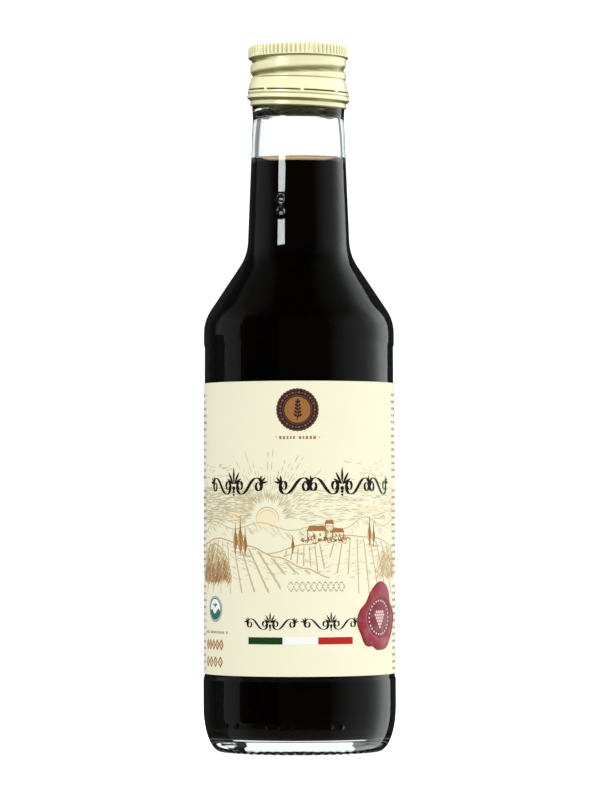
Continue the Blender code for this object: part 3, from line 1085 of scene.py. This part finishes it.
class BOTTLE_OT_landscape(Operator):
    """Engrave the sepia landscape: sun, hills, vine rows, cypresses, a farmhouse and a hedge"""

    bl_idname = "bottle.landscape"
    bl_label = "Label landscape"

    def execute(self, context):
        inks = context.scene.bottle_print
        self.rng = random.Random(inks.seed)
        self.dark, self.mid, self.pale, self.peach = Ink(), Ink(), Ink(), Ink()
        self.draw_sun(Vector(SUN))
        self.draw_sky()
        self.draw_hills()
        self.draw_farmhouse(7.2, 61.6)
        for x, y, tall in (
            (-19.6, 58.4, 8.0), (-17.8, 58.0, 10.2), (-16.1, 57.6, 7.2),
            (22.6, 60.4, 7.6), (24.4, 60.2, 6.2), (-1.6, 58.2, 4.4),
        ):
            self.draw_cypress(x, y, tall)
        self.draw_hedge(-29.5, 49.4, 7.6, 10.2, 1.0)
        self.draw_hedge(31.5, 50.6, 5.4, 8.0, 0.35)
        self.peach.lay(context, "label_art_peach", inks.peach, 0.008, (-EDGE, EDGE))
        self.pale.lay(context, "label_art_pale", inks.sepia_pale, 0.014)
        self.mid.lay(context, "label_art_mid", inks.sepia, 0.02)
        self.dark.lay(context, "label_art_dark", inks.sepia_dark, 0.026)
        return {"FINISHED"}

    def scatter(self, ink, box, number, long, slope=0.0, width=0.2, seen=None):
        """Short, slightly bowed strokes strewn over a box (left, right, foot, top)."""
        rng = self.rng
        for _ in range(number):
            x, y = rng.uniform(box[0], box[1]), rng.uniform(box[2], box[3])
            half = long * rng.uniform(0.3, 0.7)
            lean = slope + rng.uniform(-0.12, 0.12)
            bow = rng.uniform(-0.18, 0.22)
            if seen and not seen(x, y):
                continue
            path = ((x - half, y - half * lean), (x, y + bow), (x + half, y + half * lean))
            ink.taper([Vector(spot) for spot in path], width)

    def keep(self, ink, path, width, seen):
        """Draw only the stretches of a path that can be seen."""
        stretch = []
        for spot in path + [Vector((99.0, 0.0))]:
            if abs(spot.x) < EDGE - 0.4 and spot.y > PRINT_FOOT and seen(spot.x, spot.y):
                stretch.append(spot)
                continue
            if len(stretch) > 3:
                ink.ribbon(stretch, width)
            stretch = []

    def draw_sun(self, sun):
        """A low sun whose broken rays fan out."""
        rng = self.rng
        self.mid.taper(circle_path(sun, 3.4, math.radians(-14), math.radians(208), 30), 0.24)
        self.pale.taper(circle_path(sun, 2.6, math.radians(10), math.radians(160), 24), 0.2)
        self.peach.disc(sun + Vector((0.0, 0.2)), 3.2, 32)
        for ray in range(84):
            lean = math.radians(2 + ray * 2.12 + rng.uniform(-0.8, 0.8))
            way = aim(lean)
            reach = 4.6 + rng.uniform(0.0, 1.8)
            limit = rng.uniform(13.0, 22.0) if ray % 2 else rng.uniform(7.0, 12.0)
            while reach < limit:
                end = min(limit, reach + rng.uniform(1.4, 3.8))
                ink = self.mid if rng.random() < 0.12 else self.pale
                ink.taper([sun + way * (reach + (end - reach) * k / 4) for k in range(5)], 0.22)
                reach = end + rng.uniform(0.4, 1.4)

    def draw_sky(self):
        """Layers of drifting cloud, denser on the left."""

        def open_sky(x, y):
            return y > ridge_height(FAR_RANGE, x) + 0.6 and math.hypot(x - SUN[0], y - SUN[1]) > 7.0

        for ink, box, number, long, slope, width in (
            (self.pale, (-EDGE, -12, 66.0, 76.5), 560, 2.4, 0.04, 0.22),
            (self.pale, (-EDGE, -20, 76.0, 83.0), 40, 2.2, 0.1, 0.2),
            (self.pale, (0, EDGE, 66.0, 76.0), 300, 2.4, -0.03, 0.2),
            (self.pale, (14, 30, 76.0, 84.0), 34, 2.0, -0.2, 0.2),
            (self.mid, (-EDGE, -14, 66.0, 75.0), 26, 2.4, 0.04, 0.2),
        ):
            self.scatter(ink, box, number, long, slope, width, open_sky)
        for x, y, wide, tall in ((-19.0, 67.8, 2.6, 2.4), (23.0, 70.0, 4.4, 1.2), (34.0, 69.0, 3.0, 1.4)):
            self.peach.patch(arc_points(Vector((x, y)), (wide, tall), 0.0, math.tau, 28)[:-1])

    def draw_hills(self):
        """Three ridges one behind the other, modelled by short strokes, with vine rows down their slopes."""
        stamp_top = 51.4

        def far_seen(x, y):
            return y > max(ridge_height(RIGHT_HILL, x), ridge_height(LEFT_HILL, x)) + 0.3

        def far_slope(x, y):
            ridge = ridge_height(FAR_RANGE, x)
            return far_seen(x, y) and ridge - 2.6 < y < ridge - 0.2

        def right_seen(x, y):
            return ridge_height(LEFT_HILL, x) + 0.4 < y < ridge_height(RIGHT_HILL, x) - 0.4

        def right_field(x, y):
            return right_seen(x, y) and x > 9.0 and (y > stamp_top or x > 15.5)

        def middle_field(x, y):
            return right_seen(x, y) and x < 7.5

        def left_seen(x, y):
            return 46.0 < y < ridge_height(LEFT_HILL, x) - 0.4 and (y > stamp_top or x < -5.0)

        for ridge, ink, width, seen in (
            (FAR_RANGE, self.pale, 0.28, far_seen),
            (RIGHT_HILL, self.mid, 0.28, lambda x, y: y > ridge_height(LEFT_HILL, x)),
            (LEFT_HILL, self.mid, 0.34, lambda x, y: True),
        ):
            left, right = ridge[0][0], ridge[-1][0]
            steps = round((right - left) / 0.7)
            path = [Vector((left + (right - left) * k / steps, 0.0)) for k in range(steps + 1)]
            for spot in path:
                spot.y = ridge_height(ridge, spot.x) + self.rng.uniform(-0.05, 0.05)
            self.keep(ink, path, width, seen)
        self.scatter(self.pale, (-EDGE, EDGE, 58.0, 67.0), 520, 1.3, -0.9, 0.2, far_slope)
        self.scatter(self.pale, (-EDGE, 9, 50.0, 61.0), 200, 1.6, -0.3, 0.2, left_seen)
        self.scatter(self.pale, (-8, EDGE, 50.0, 62.0), 150, 1.6, 0.25, 0.2, right_seen)
        self.draw_rows((-24.0, 74.0), -62.0, 10.0, 16, left_seen)
        self.draw_rows((17.0, 82.0), 6.0, 60.0, 13, right_field)
        self.draw_rows((2.0, 78.0), -9.0, 9.0, 7, middle_field)

    def draw_rows(self, top, left, right, rows, seen):
        """Vine rows that fan out downhill: bushy lines over a thin shadow."""
        rng = self.rng
        top = Vector(top)
        for row in range(rows + 1):
            foot = Vector((left + (right - left) * row / rows, 45.0))
            steps = math.ceil((foot - top).length / 0.55)
            bushes, shadow = [], []
            for step in range(steps + 1):
                down = step / steps
                spot = top.lerp(foot, down) + Vector((0.0, 1.4 * math.sin(math.pi * down)))
                puff = 0.55 * down ** 2 * (abs(math.sin(step * 0.9)) + rng.uniform(0.0, 0.3))
                bushes.append(spot + Vector((0.0, puff)))
                shadow.append(spot - Vector((0.0, 0.25)))
            self.keep(self.mid, bushes, 0.24, seen)
            self.keep(self.pale, shadow, 0.3, seen)

    def draw_farmhouse(self, x, y):
        """Walls, tiled roofs, a tower and small windows, with bushes round them."""
        houses = ((x - 4.6, 5.4, 2.2, 1.5), (x + 0.6, 2.2, 4.2, 1.1), (x + 2.6, 3.4, 1.8, 1.2))
        for left, width, wall, roof in houses:
            for post in (left, left + width):
                self.dark.line((post, y), (post, y + wall), 0.22)
            self.dark.line((left, y), (left + width, y), 0.2)
            eave = Vector((left + width / 2, y + wall))
            half = width / 2 + 0.4
            tiles = round(half * 3.6)
            for tile in range(tiles):
                along = (tile + 0.5) / tiles * 2.0 - 1.0
                foot = eave + Vector((half * along, 0.0))
                self.dark.line(foot, foot + Vector((-half * along * 0.35, roof)), 0.5)
            for k in range(1, 3):
                self.dark.bar(left + width * k / 3 - 0.2, y + wall * 0.4, 0.4, 0.7)
            box = (left + 0.6, left + width - 0.4, y + 0.2, y + wall - 0.2)
            self.scatter(self.mid, box, 8, 0.6, 0.0, 0.16)
        for bush in range(9):
            self.draw_bush(x - 6.0 + bush * 1.6, y - 0.5, 0.55 + 0.5 * (bush % 3))

    def draw_bush(self, x, y, size):
        """A round bush of small curled strokes."""
        for _ in range(7):
            aside = self.rng.uniform(-0.6, 0.6) * size
            above = self.rng.uniform(-0.3, 0.7) * size
            centre = Vector((x + aside, y + above))
            start = self.rng.uniform(0.0, math.tau)
            self.dark.taper(circle_path(centre, 0.3 * size + 0.1, start, 3.6, 6), 0.26)

    def draw_cypress(self, x, y, tall):
        """A slim tree of upright wavy strokes, darker on its shaded side."""
        wide = tall * 0.12
        for stroke in range(9):
            share = stroke / 8 - 0.5
            foot = y + abs(share) * 0.9
            top = y + tall * (1.0 - abs(share) * 0.75)
            path = []
            for step in range(9):
                up = step / 8
                bulge = math.sin(math.pi * min(1.0, up * 0.9 + 0.12)) * share * wide * 1.5
                wave = 0.14 * math.sin(step * 2.1 + stroke) * (1 - up)
                path.append(Vector((x + bulge + wave, foot + (top - foot) * up)))
            (self.dark if share > -0.2 else self.mid).taper(path, 0.24, 0.4)
        self.dark.line((x, y - 0.8), (x, y + 0.8), 0.34)
        self.scatter(self.pale, (x, x + 3.0, y - 1.1, y - 0.5), 8, 1.4, -0.1, 0.22)

    def draw_hedge(self, x, y, wide, tall, weight):
        """A tangled old hedge: a rounded mass of hatching that darkens towards its foot."""
        rng = self.rng

        def inside(px, py):
            return ((px - x) / wide) ** 2 + (max(0.0, py - y) / tall) ** 2 < 1.0 and py > y

        def shaded(px, py):
            side = 0.25 * math.sin(px * 1.9)
            return inside(px, py) and rng.random() > (py - y) / tall * 1.3 + side

        box = (x - wide, x + wide, y, y + tall)
        number = round(230 * weight)
        self.scatter(self.mid, box, number, 1.3, 1.2, 0.2, inside)
        self.scatter(self.pale, box, number * 2, 1.5, -0.8, 0.22, inside)
        deep = self.dark if weight > 0.5 else self.mid
        self.scatter(deep, box, round(number * 1.5), 1.4, 1.8, 0.24, shaded)
        self.scatter(deep, box, number, 1.4, -0.9, 0.22, shaded)
        leaves = round(34 * weight)
        for leaf in range(leaves):
            turn = math.pi * (leaf + rng.uniform(0.0, 0.8)) / leaves
            spot = Vector((x + wide * math.cos(turn), y + tall * math.sin(turn)))
            self.mid.taper(circle_path(spot, rng.uniform(0.5, 0.9), turn - 1.2, 2.6, 8), 0.26)


class BOTTLE_OT_flourish(Operator):
    """Draw the black pen scrolls that stand where a label has its headings"""

    bl_idname = "bottle.flourish"
    bl_label = "Label flourishes"

    def execute(self, context):
        inks = context.scene.bottle_print
        ink = Ink()
        for x, y, wide, scrolls, size in (
            (-20.2, 77.0, 9.6, 1, 1.0), (12.9, 77.0, 18.2, 2, 1.0),
            (-8.2, 37.7, 7.2, 1, 0.66), (9.4, 37.7, 7.8, 1, 0.66),
        ):
            self.ornament(ink, Vector((x, y)), wide, scrolls, size)
        ink.lay(context, "label_flourishes", inks.black, 0.034, None, 0.35, 0.05)
        return {"FINISHED"}

    @staticmethod
    def pen(ink, path, scale):
        """Thin on the way up and thick on the way down, as a pen draws."""
        last = len(path) - 1

        def width(share):
            step = round(share * last)
            way = (path[min(step + 1, last)] - path[max(step - 1, 0)]).normalized()
            press = fade(abs(way.y), 0.2, 0.95)
            ends = min(1.0, 0.3 + 5.0 * min(share, 1.0 - share))
            return (0.28 + 0.62 * press) * scale * ends

        ink.ribbon(path, width)

    def ornament(self, ink, centre, wide, scrolls, size):
        """A symmetric pen ornament: a palmette over three dots, with scrolls to both sides."""
        start = 1.2 * size
        reach = (wide - start) / scrolls
        for side in (-1, 1):
            for number in range(scrolls):
                middle = start + reach * (number + 0.5)
                turn = 1 if number % 2 else -1
                self.scroll(ink, centre, side, Vector((middle, -0.4 * size)), reach, turn, size)
                root = centre + Vector((side * (middle + reach * 0.44), 0.3 * size))
                for lean in (0.25, 0.85, 1.45):
                    leaf = 2.3 * size * Vector((side * math.cos(lean), math.sin(lean)))
                    self.leaf(ink, root, leaf, 5, 0.62 * size)
        for lean, long in ((-1.0, 2.8), (-0.5, 3.8), (0.0, 4.7), (0.5, 3.8), (1.0, 2.8)):
            root = centre + Vector((0.4 * math.sin(lean), 0.2)) * size
            leaf = long * size * Vector((math.sin(lean), math.cos(lean)))
            self.leaf(ink, root, leaf, 6, 0.72 * size)
        for k in range(3):
            foot = centre + Vector((0.0, -1.0 - 0.95 * k)) * size
            ink.disc(foot, (0.6 - 0.13 * k) * size, 12)

    @staticmethod
    def leaf(ink, root, leaf, steps, width):
        """A leaf that is pointed at both of its ends."""
        ink.taper([root.lerp(root + leaf, k / steps) for k in range(steps + 1)], width, 0.12)

    def scroll(self, ink, centre, side, middle, reach, turn, size):
        """One double scroll whose curl tightens evenly towards both of its eyes."""
        steps, curl = 60, 2.35
        spot = Vector((0.0, 0.0))
        half = [spot.copy()]
        for step in range(steps):
            along = (step + 0.5) / steps * curl
            spot += aim(math.pi / 2 * along * along - math.pi / 4) * curl / steps
            half.append(spot.copy())
        path = [-point for point in reversed(half[1:])] + half
        placed = []
        for point in path:
            flat = Vector((point.x * reach / 1.95, point.y * turn * 6.6 * size)) + middle
            placed.append(centre + Vector((side * flat.x, flat.y)))
        self.pen(ink, placed, size)


class BOTTLE_OT_medallion(Operator):
    """Print the round medallion: a brown disc with beads, and a copper centre with a sprig"""

    bl_idname = "bottle.medallion"
    bl_label = "Label medallion"

    def execute(self, context):
        inks = context.scene.bottle_print
        centre = Vector((-0.2, 98.2))
        base, beads, face, sprig = Ink(), Ink(), Ink(), Ink()
        turns = [math.tau * step / 144 for step in range(144)]
        base.patch([centre + (6.05 + 0.09 * math.cos(36 * turn)) * aim(turn) for turn in turns])
        base.lay(context, "medallion_disc", inks.brown, 0.03, (-7, 7), 0.5, 0.04)
        for bead in range(34):
            beads.disc(centre + 4.95 * aim(math.tau * bead / 34), 0.24 if bead % 2 else 0.36, 8)
        beads.ribbon(circle_path(centre, 5.75, 0, math.tau, 72), 0.12)
        beads.ribbon(circle_path(centre, 4.1, 0, math.tau, 60), 0.14)
        beads.lay(context, "medallion_beads", inks.tan, 0.045)
        face.disc(centre, 3.7, 64)
        face.lay(context, "medallion_face", inks.copper, 0.04, (-5, 5))
        stem = ((-0.1, -2.9), (0.25, -1.0), (-0.1, 1.0), (0.1, 2.6))
        sprig.ribbon(smooth([centre + Vector(spot) for spot in stem], 0.4), 0.3)
        for k in range(5):
            for side in (-1, 1):
                foot = centre + Vector((0.1, -2.0 + k * 0.95))
                tip = foot + Vector((side * (1.15 - 0.12 * k), 0.8))
                middle = foot.lerp(tip, 0.5)
                sprig.taper([foot, foot.lerp(tip, 0.3), middle, foot.lerp(tip, 0.8), tip], 0.62, 0.15)
        sprig.taper([centre + Vector((0.1, height)) for height in (2.3, 2.8, 3.3)], 0.5, 0.15)
        sprig.lay(context, "medallion_sprig", inks.brown, 0.06, None, 0.5, 0.04)
        return {"FINISHED"}


class BOTTLE_OT_stripe(Operator):
    """Print the stripe of three fields under the small flourish"""

    bl_idname = "bottle.stripe"
    bl_label = "Label stripe"

    def execute(self, context):
        inks = context.scene.bottle_print
        middle = 32.72
        for name, left, right in (("green", -15.0, -4.6), ("white", -4.5, 5.5), ("red", 5.6, 16.2)):
            ink = Ink()
            ink.line((left, middle), (right, middle), 2.0)
            sides = (left - 1, right + 1)
            ink.lay(context, f"stripe_{name}", getattr(inks, name), 0.03, sides, 0.4, 0.06)
        return {"FINISHED"}


SEAL_PROFILE = (
    (0.0, 0.14), (5.5, 0.14), (5.8, 0.17), (6.1, 0.3), (6.7, 0.38),
    (7.8, 0.4), (8.7, 0.32), (9.3, 0.17), (9.5, -0.06),
)
SEAL_LOBES = (
    (2.45, -0.2, 0.42), (0.62, -0.16, 0.36), (1.35, 0.1, 0.4), (4.0, 0.05, 0.2),
    (4.35, -0.08, 0.14), (3.3, 0.03, 0.3), (5.6, -0.04, 0.3),
)


class BOTTLE_OT_seal(Operator):
    """Press the wax seal: an uneven rim, a sunk face, a ring of beads and a bunch of grapes"""

    bl_idname = "bottle.seal"
    bl_label = "Label seal"

    def execute(self, context):
        inks = context.scene.bottle_print
        centre = Vector((27.0, 39.0))
        bm = bmesh.new()
        deep = bm.verts.layers.float.new("deep")
        spin_outline(bm, divided([Vector(point) for point in SEAL_PROFILE], 0.5), 120)
        for vert in bm.verts:
            radius, turn, height = polar(vert.co)
            way = aim(turn).to_3d()
            lobe = 1.0 + 0.07 * noise.noise(way * 1.8 + Vector((3.1, 0.4, 0.0)))
            for place, longer, width in SEAL_LOBES:
                lobe += longer * hump(turn - place, width)
            lobe = 1.0 + (lobe - 1.0) * fade(radius, 5.0, 8.5)
            bulge = 0.07 * noise.noise(Vector((vert.co.x, vert.co.y, 1.7)) * 0.35) * fade(radius, 6.4, 7.2)
            height_here = height + bulge * fade(height, 0.0, 0.3)
            # Painted shade: the low sunk face and the rim's outer edge are marked to take the deeper red.
            vert[deep] = 1.0 - fade(height, 0.14, 0.3)
            vert.co = Vector((centre.x, centre.y, height_here)) + way * radius * lobe
        bmesh.ops.recalc_face_normals(bm, faces=bm.faces)
        wrap(context, bm)
        make_piece(bm, "seal_wax", self.wax_material(inks), (), math.radians(70.0))
        marks = bmesh.new()
        for bead in range(26):
            self.bead(marks, centre + 4.8 * aim(math.tau * bead / 26), 0.34)
        for row, number in enumerate((4, 5, 4, 3, 2, 1)):
            for k in range(number):
                spot = centre + Vector(((k - (number - 1) / 2) * 1.0, 1.6 - row * 0.86))
                self.bead(marks, spot, 0.5)
        wrap(context, marks)
        bloom = ink_material("wax_bloom", inks.wax_bloom, 0.3, 0.1)
        make_piece(marks, "seal_marks", bloom)
        return {"FINISHED"}

    @staticmethod
    def bead(bm, spot, radius):
        """A low round bead that stands in the seal's face."""
        place = Matrix.Translation((spot.x, spot.y, 0.12)) @ Matrix.Diagonal((1.0, 1.0, 0.42, 1.0))
        bmesh.ops.create_icosphere(bm, subdivisions=1, radius=radius, matrix=place)

    @staticmethod
    def wax_material(inks):
        """Sealing wax: painted shade makes its sunk face and outer edge a deeper red, and random swirled
        patches are paler.
        """
        graph = new_material("seal_wax")
        point = graph.object_point()
        swirl = graph.noise(point, 0.35, 3.0)
        fine = graph.noise(point, 2.2, 4.0)
        deep = graph.node("ShaderNodeAttribute", {"attribute_name": "deep"}, {}, "Fac")
        # Painted shade: the marked low parts take the deeper red, mixed with random swirls.
        tone = graph.mix((deep * 0.7 + (swirl - 0.5) * 1.6).clamp(), inks.wax, inks.wax_deep)
        pale = graph.mix(((swirl - 0.5) * 3.0).clamp() * 0.22, tone, inks.wax_bloom)
        sockets = {
            "Base Color": pale,
            "Roughness": 0.25 + fine * 0.2,
            "Coat Weight": 0.2,
            "Specular IOR Level": 0.3,
            "Normal": graph.bump(swirl + fine * 0.3, 0.5, 0.3),
        }
        return graph.principled(sockets)


class BOTTLE_OT_badge(Operator):
    """Print the small round mark at the left: a slate ring round a teal hill and leaf"""

    bl_idname = "bottle.badge"
    bl_label = "Label round mark"

    def execute(self, context):
        inks = context.scene.bottle_print
        centre = Vector((-29.0, 41.5))
        sides = (-34, -24)
        ground, ring, hill = Ink(), Ink(), Ink()
        ground.disc(centre, 3.7, 48)
        ground.lay(context, "mark_ground", inks.white, 0.03, sides, 0.4, 0.05)
        ring.ribbon(circle_path(centre, 3.5, 0, math.tau, 64), 0.5)
        ring.lay(context, "mark_ring", inks.slate, 0.04)
        hill.ribbon(circle_path(centre, 3.0, 0, math.tau, 60), 0.3)
        bottom = [centre + 2.9 * aim(math.radians(195 + 150 * k / 20)) for k in range(21)]
        wave = [centre + Vector((2.8 - 5.6 * k / 12, -0.7 + 0.8 * math.sin(k * 0.75))) for k in range(13)]
        hill.patch(bottom + wave)
        stem = [centre + Vector(p) for p in ((-0.1, 0.2), (0.2, 1.0), (0.1, 1.9))]
        hill.ribbon(smooth(stem, 0.3), 0.24)
        for side in (-1, 1):
            leaf = [centre + Vector(p) for p in ((0.1, 0.7), (0.6 * side, 1.2), (1.2 * side, 1.4))]
            hill.taper(smooth(leaf, 0.2), 0.6, 0.1)
        hill.lay(context, "mark_teal", inks.teal, 0.05, sides)
        return {"FINISHED"}


class BOTTLE_OT_smallprint(Operator):
    """Fill the rest of the label with greeked small print, brown lozenges and a dotted stamp"""

    bl_idname = "bottle.smallprint"
    bl_label = "Label small print"

    def execute(self, context):
        inks = context.scene.bottle_print
        rng = random.Random(inks.seed + 1)
        brown = Ink()
        brown.row(-5.4, 5.2, 89.9, 1.25, rng)
        for side in (-1, 1):
            brown.disc((-0.1 + side * 6.2, 90.4), 0.22, 6)
        for number, y, size in ((5, 31.3, 0.86), (4, 26.4, 1.0)):
            for k in range(number):
                spot = Vector((-34.0 + k * (10.4 / number), y))
                tips = [(0.0, -1.4), (size, 0.0), (0.0, 1.4), (-size, 0.0)]
                for a, b in zip(tips, tips[1:] + tips[:1]):
                    brown.line(spot + Vector(a), spot + Vector(b), 0.46)
                brown.disc(spot, 0.34, 6)
        brown.lay(context, "small_brown", inks.sepia_dark, 0.03)
        grey = Ink()
        grey.row(-35.6, -22.0, 34.5, 1.05, rng)
        for side in (-1, 1):
            for row in range(41):
                y = 102.6 - row * 1.97
                for near, far in ((35.9, 58.0), (61.0, 81.0)):
                    ragged = rng.uniform(0.0, 3.0) if row % 7 else rng.uniform(6.0, 14.0)
                    ends = sorted((side * near, side * (far - ragged)))
                    if row % 14 != 13:
                        grey.row(*ends, y, 1.0, rng)
        for dot in range(52):
            x = -3.0 + dot * 0.325
            for side in (-1, 1):
                grey.disc(Vector((x, 48.1 + side * 1.25 * math.sin(dot * 0.62))), 0.24, 6)
        grey.lay(context, "small_grey", inks.grey, 0.028)
        return {"FINISHED"}


# The stage: pale floor, white studio and the camera
# The sweep is the room's brightness at degrees to the right of the front


SWEEP = (
    (-180, 1.2), (-176, 0.5), (-172, 0.03), (-124, 0.03), (-117, 0.24), (-84, 0.22),
    (-58, 0.04), (-30, 0.02), (35, 0.02), (63, 0.24), (88, 0.39), (102, 0.7),
    (119, 1.7), (137, 1.6), (139.5, 0.03), (172, 0.03), (176, 0.5), (180, 1.2),
)


class BOTTLE_OT_stage(Operator):
    """Lay the pale floor, light the studio and set the camera"""

    bl_idname = "bottle.stage"
    bl_label = "Stage"

    def execute(self, context):
        stage = context.scene.bottle_stage
        self.make_floor(stage)
        self.make_flag()
        self.light_studio(context, stage)
        self.place_camera(context, stage)
        return {"FINISHED"}

    @staticmethod
    def make_floor(stage):
        graph = new_material("pale_floor")
        grain = graph.noise(graph.object_point(), 0.02, 2.0)
        sockets = {
            "Base Color": graph.mix(grain * 0.2, (0.95, 0.95, 0.95), (0.9, 0.9, 0.9)),
            "Roughness": 0.9,
            "Emission Color": (1.0, 1.0, 1.0, 1.0),
            "Emission Strength": 1.0,
        }
        bm = bmesh.new()
        bmesh.ops.create_circle(bm, cap_ends=True, segments=96, radius=stage.floor_radius)
        bmesh.ops.translate(bm, verts=bm.verts, vec=(0.0, 0.0, -0.05 * MM))
        make_prop(bm, "floor", graph.principled(sockets), ("glossy", "diffuse", "transmission"))

    @staticmethod
    def make_flag():
        """A black card that keeps the strip light off the shoulder."""
        graph = new_material("black_card")
        nap = graph.noise(graph.object_point(), 0.2, 2.0)
        tone = graph.mix(nap, (0.0, 0.0, 0.0), (0.001, 0.001, 0.001))
        black = graph.node("ShaderNodeBsdfDiffuse", {}, {"Color": tone})
        graph.node("ShaderNodeOutputMaterial", {}, {"Surface": black})
        half_width, half_height = 22.0 * MM, 77.5 * MM
        bm = bmesh.new()
        bmesh.ops.create_grid(bm, x_segments=1, y_segments=1, size=1.0)
        size = Matrix.Diagonal((half_width, half_height, 1.0)).to_4x4()
        place = Matrix.Rotation(FRONT - math.radians(40.0), 4, "Z")
        stand = Matrix.Translation((60.0 * MM, 0.0, half_height)) @ Matrix.Rotation(math.pi / 2, 4, "Y")
        upright = Matrix.Rotation(math.pi / 2, 4, "Z")
        bm.transform(place @ stand @ upright @ size)
        make_prop(bm, "flag", graph.owner, ("camera", "diffuse", "transmission", "shadow"))

    @staticmethod
    def light_studio(context, stage):
        """White all round, with a softbox on the right, a strip on the left and a dark room in front."""
        world = bpy.data.worlds.new("studio")
        graph = Graph(world)
        world.cycles.sampling_method = "NONE"
        context.scene.world = world
        way = graph.node("ShaderNodeTexCoord", {}, {}, "Generated")
        x, y, z = (graph.axis(way, name) for name in "XYZ")
        turn = x.math("ARCTAN2", x, 0.0 - y) / math.tau + 0.5

        def share(degrees):
            """Where degrees to the right of the front lie on the full turn from 0 to 1."""
            return degrees / 360 + 0.5

        stops = [(share(degrees), level / 2.0) for degrees, level in SWEEP]
        around = graph.node("ShaderNodeValToRGB", {"stops": stops}, {"Fac": turn}) * 2.0
        strip = (turn > share(-49.0)) * (turn < share(-32.0)) * (z > 0.13) * (z < 0.36) * 14.0
        overhead = 1.0 - ((z - 0.35) * 2.5).clamp() * 0.75
        low_left = (turn > share(-124.0)) * (turn < share(-103.0)) * (z < 0.055)
        mirror = around * overhead * (1.0 - low_left * 0.85) + strip
        edges = ((x * x) < 0.2) * (y > 0.0)
        low = z < -0.12
        left = (x < -0.44) * (y > -0.2) * 0.22
        under = 1.0 - (z < -0.01) * (x > 0.0) * 0.8
        plain_sides = (around * overhead * under + left) * (1.0 - edges) * (1.0 - low)
        through = plain_sides + (edges + low).clamp() * 1.2
        side_fill = stage.fill * (1.0 + x * 0.17 + z * 0.9)
        path = graph.tree.nodes.new("ShaderNodeLightPath")
        glossy = Wire(graph, path.outputs["Glossy Depth"]) > 0.5
        diffuse = Wire(graph, path.outputs["Is Diffuse Ray"])
        clear = Wire(graph, path.outputs["Is Transmission Ray"])
        room = mirror * (1.0 - clear) + through * clear
        level = stage.backdrop * (1.0 - glossy) + room * glossy
        level = level * (1.0 - diffuse) + side_fill * diffuse
        cool = graph.mix(glossy, (1.0, 1.0, 1.0), (0.93, 1.0, 0.985))
        light = graph.node("ShaderNodeBackground", {}, {"Color": cool, "Strength": level})
        graph.node("ShaderNodeOutputWorld", {}, {"Surface": light})

    @staticmethod
    def place_camera(context, stage):
        data = bpy.data.cameras.new("camera")
        data.lens = stage.lens
        camera = bpy.data.objects.new("camera", data)
        context.scene.collection.objects.link(camera)
        camera.location = (stage.aside, -stage.distance, stage.height)
        camera.rotation_euler = (math.pi / 2 + stage.pitch, stage.roll, 0.0)
        context.scene.camera = camera
        context.scene.view_settings.view_transform = "Standard"


class BOTTLE_PT_panel(Panel):
    """Lists the pieces of the bottle and the stage"""

    bl_idname = "BOTTLE_PT_panel"
    bl_label = "Vinegar bottle"
    bl_space_type = "VIEW_3D"
    bl_region_type = "UI"
    bl_category = "Bottle"

    def draw(self, context):
        for operator in OPERATORS:
            self.layout.operator(operator.bl_idname)


SETTINGS = {
    "bottle_glass": GlassSettings,
    "bottle_vinegar": VinegarSettings,
    "bottle_cap": CapSettings,
    "bottle_label": LabelSettings,
    "bottle_print": PrintSettings,
    "bottle_stage": StageSettings,
}
OPERATORS = [
    BOTTLE_OT_stage,
    BOTTLE_OT_glass,
    BOTTLE_OT_vinegar,
    BOTTLE_OT_cap,
    BOTTLE_OT_label,
    BOTTLE_OT_landscape,
    BOTTLE_OT_flourish,
    BOTTLE_OT_medallion,
    BOTTLE_OT_stripe,
    BOTTLE_OT_seal,
    BOTTLE_OT_badge,
    BOTTLE_OT_smallprint,
]


def register():
    """Registers the classes. Each setting's label comes from its own name."""
    for name, group in SETTINGS.items():
        for identifier, prop in group.__annotations__.items():
            prop.keywords["name"] = identifier.replace("_", " ").capitalize()
        bpy.utils.register_class(group)
        setattr(bpy.types.Scene, name, PointerProperty(type=group))
    for cls in [*OPERATORS, BOTTLE_PT_panel]:
        bpy.utils.register_class(cls)


def unregister():
    for cls in [BOTTLE_PT_panel, *reversed(OPERATORS)]:
        bpy.utils.unregister_class(cls)
    for name, group in SETTINGS.items():
        delattr(bpy.types.Scene, name)
        bpy.utils.unregister_class(group)


def main():
    register()
    for operator in OPERATORS:
        getattr(bpy.ops.bottle, operator.bl_idname.removeprefix("bottle."))()


if __name__ == "__main__":
    main()
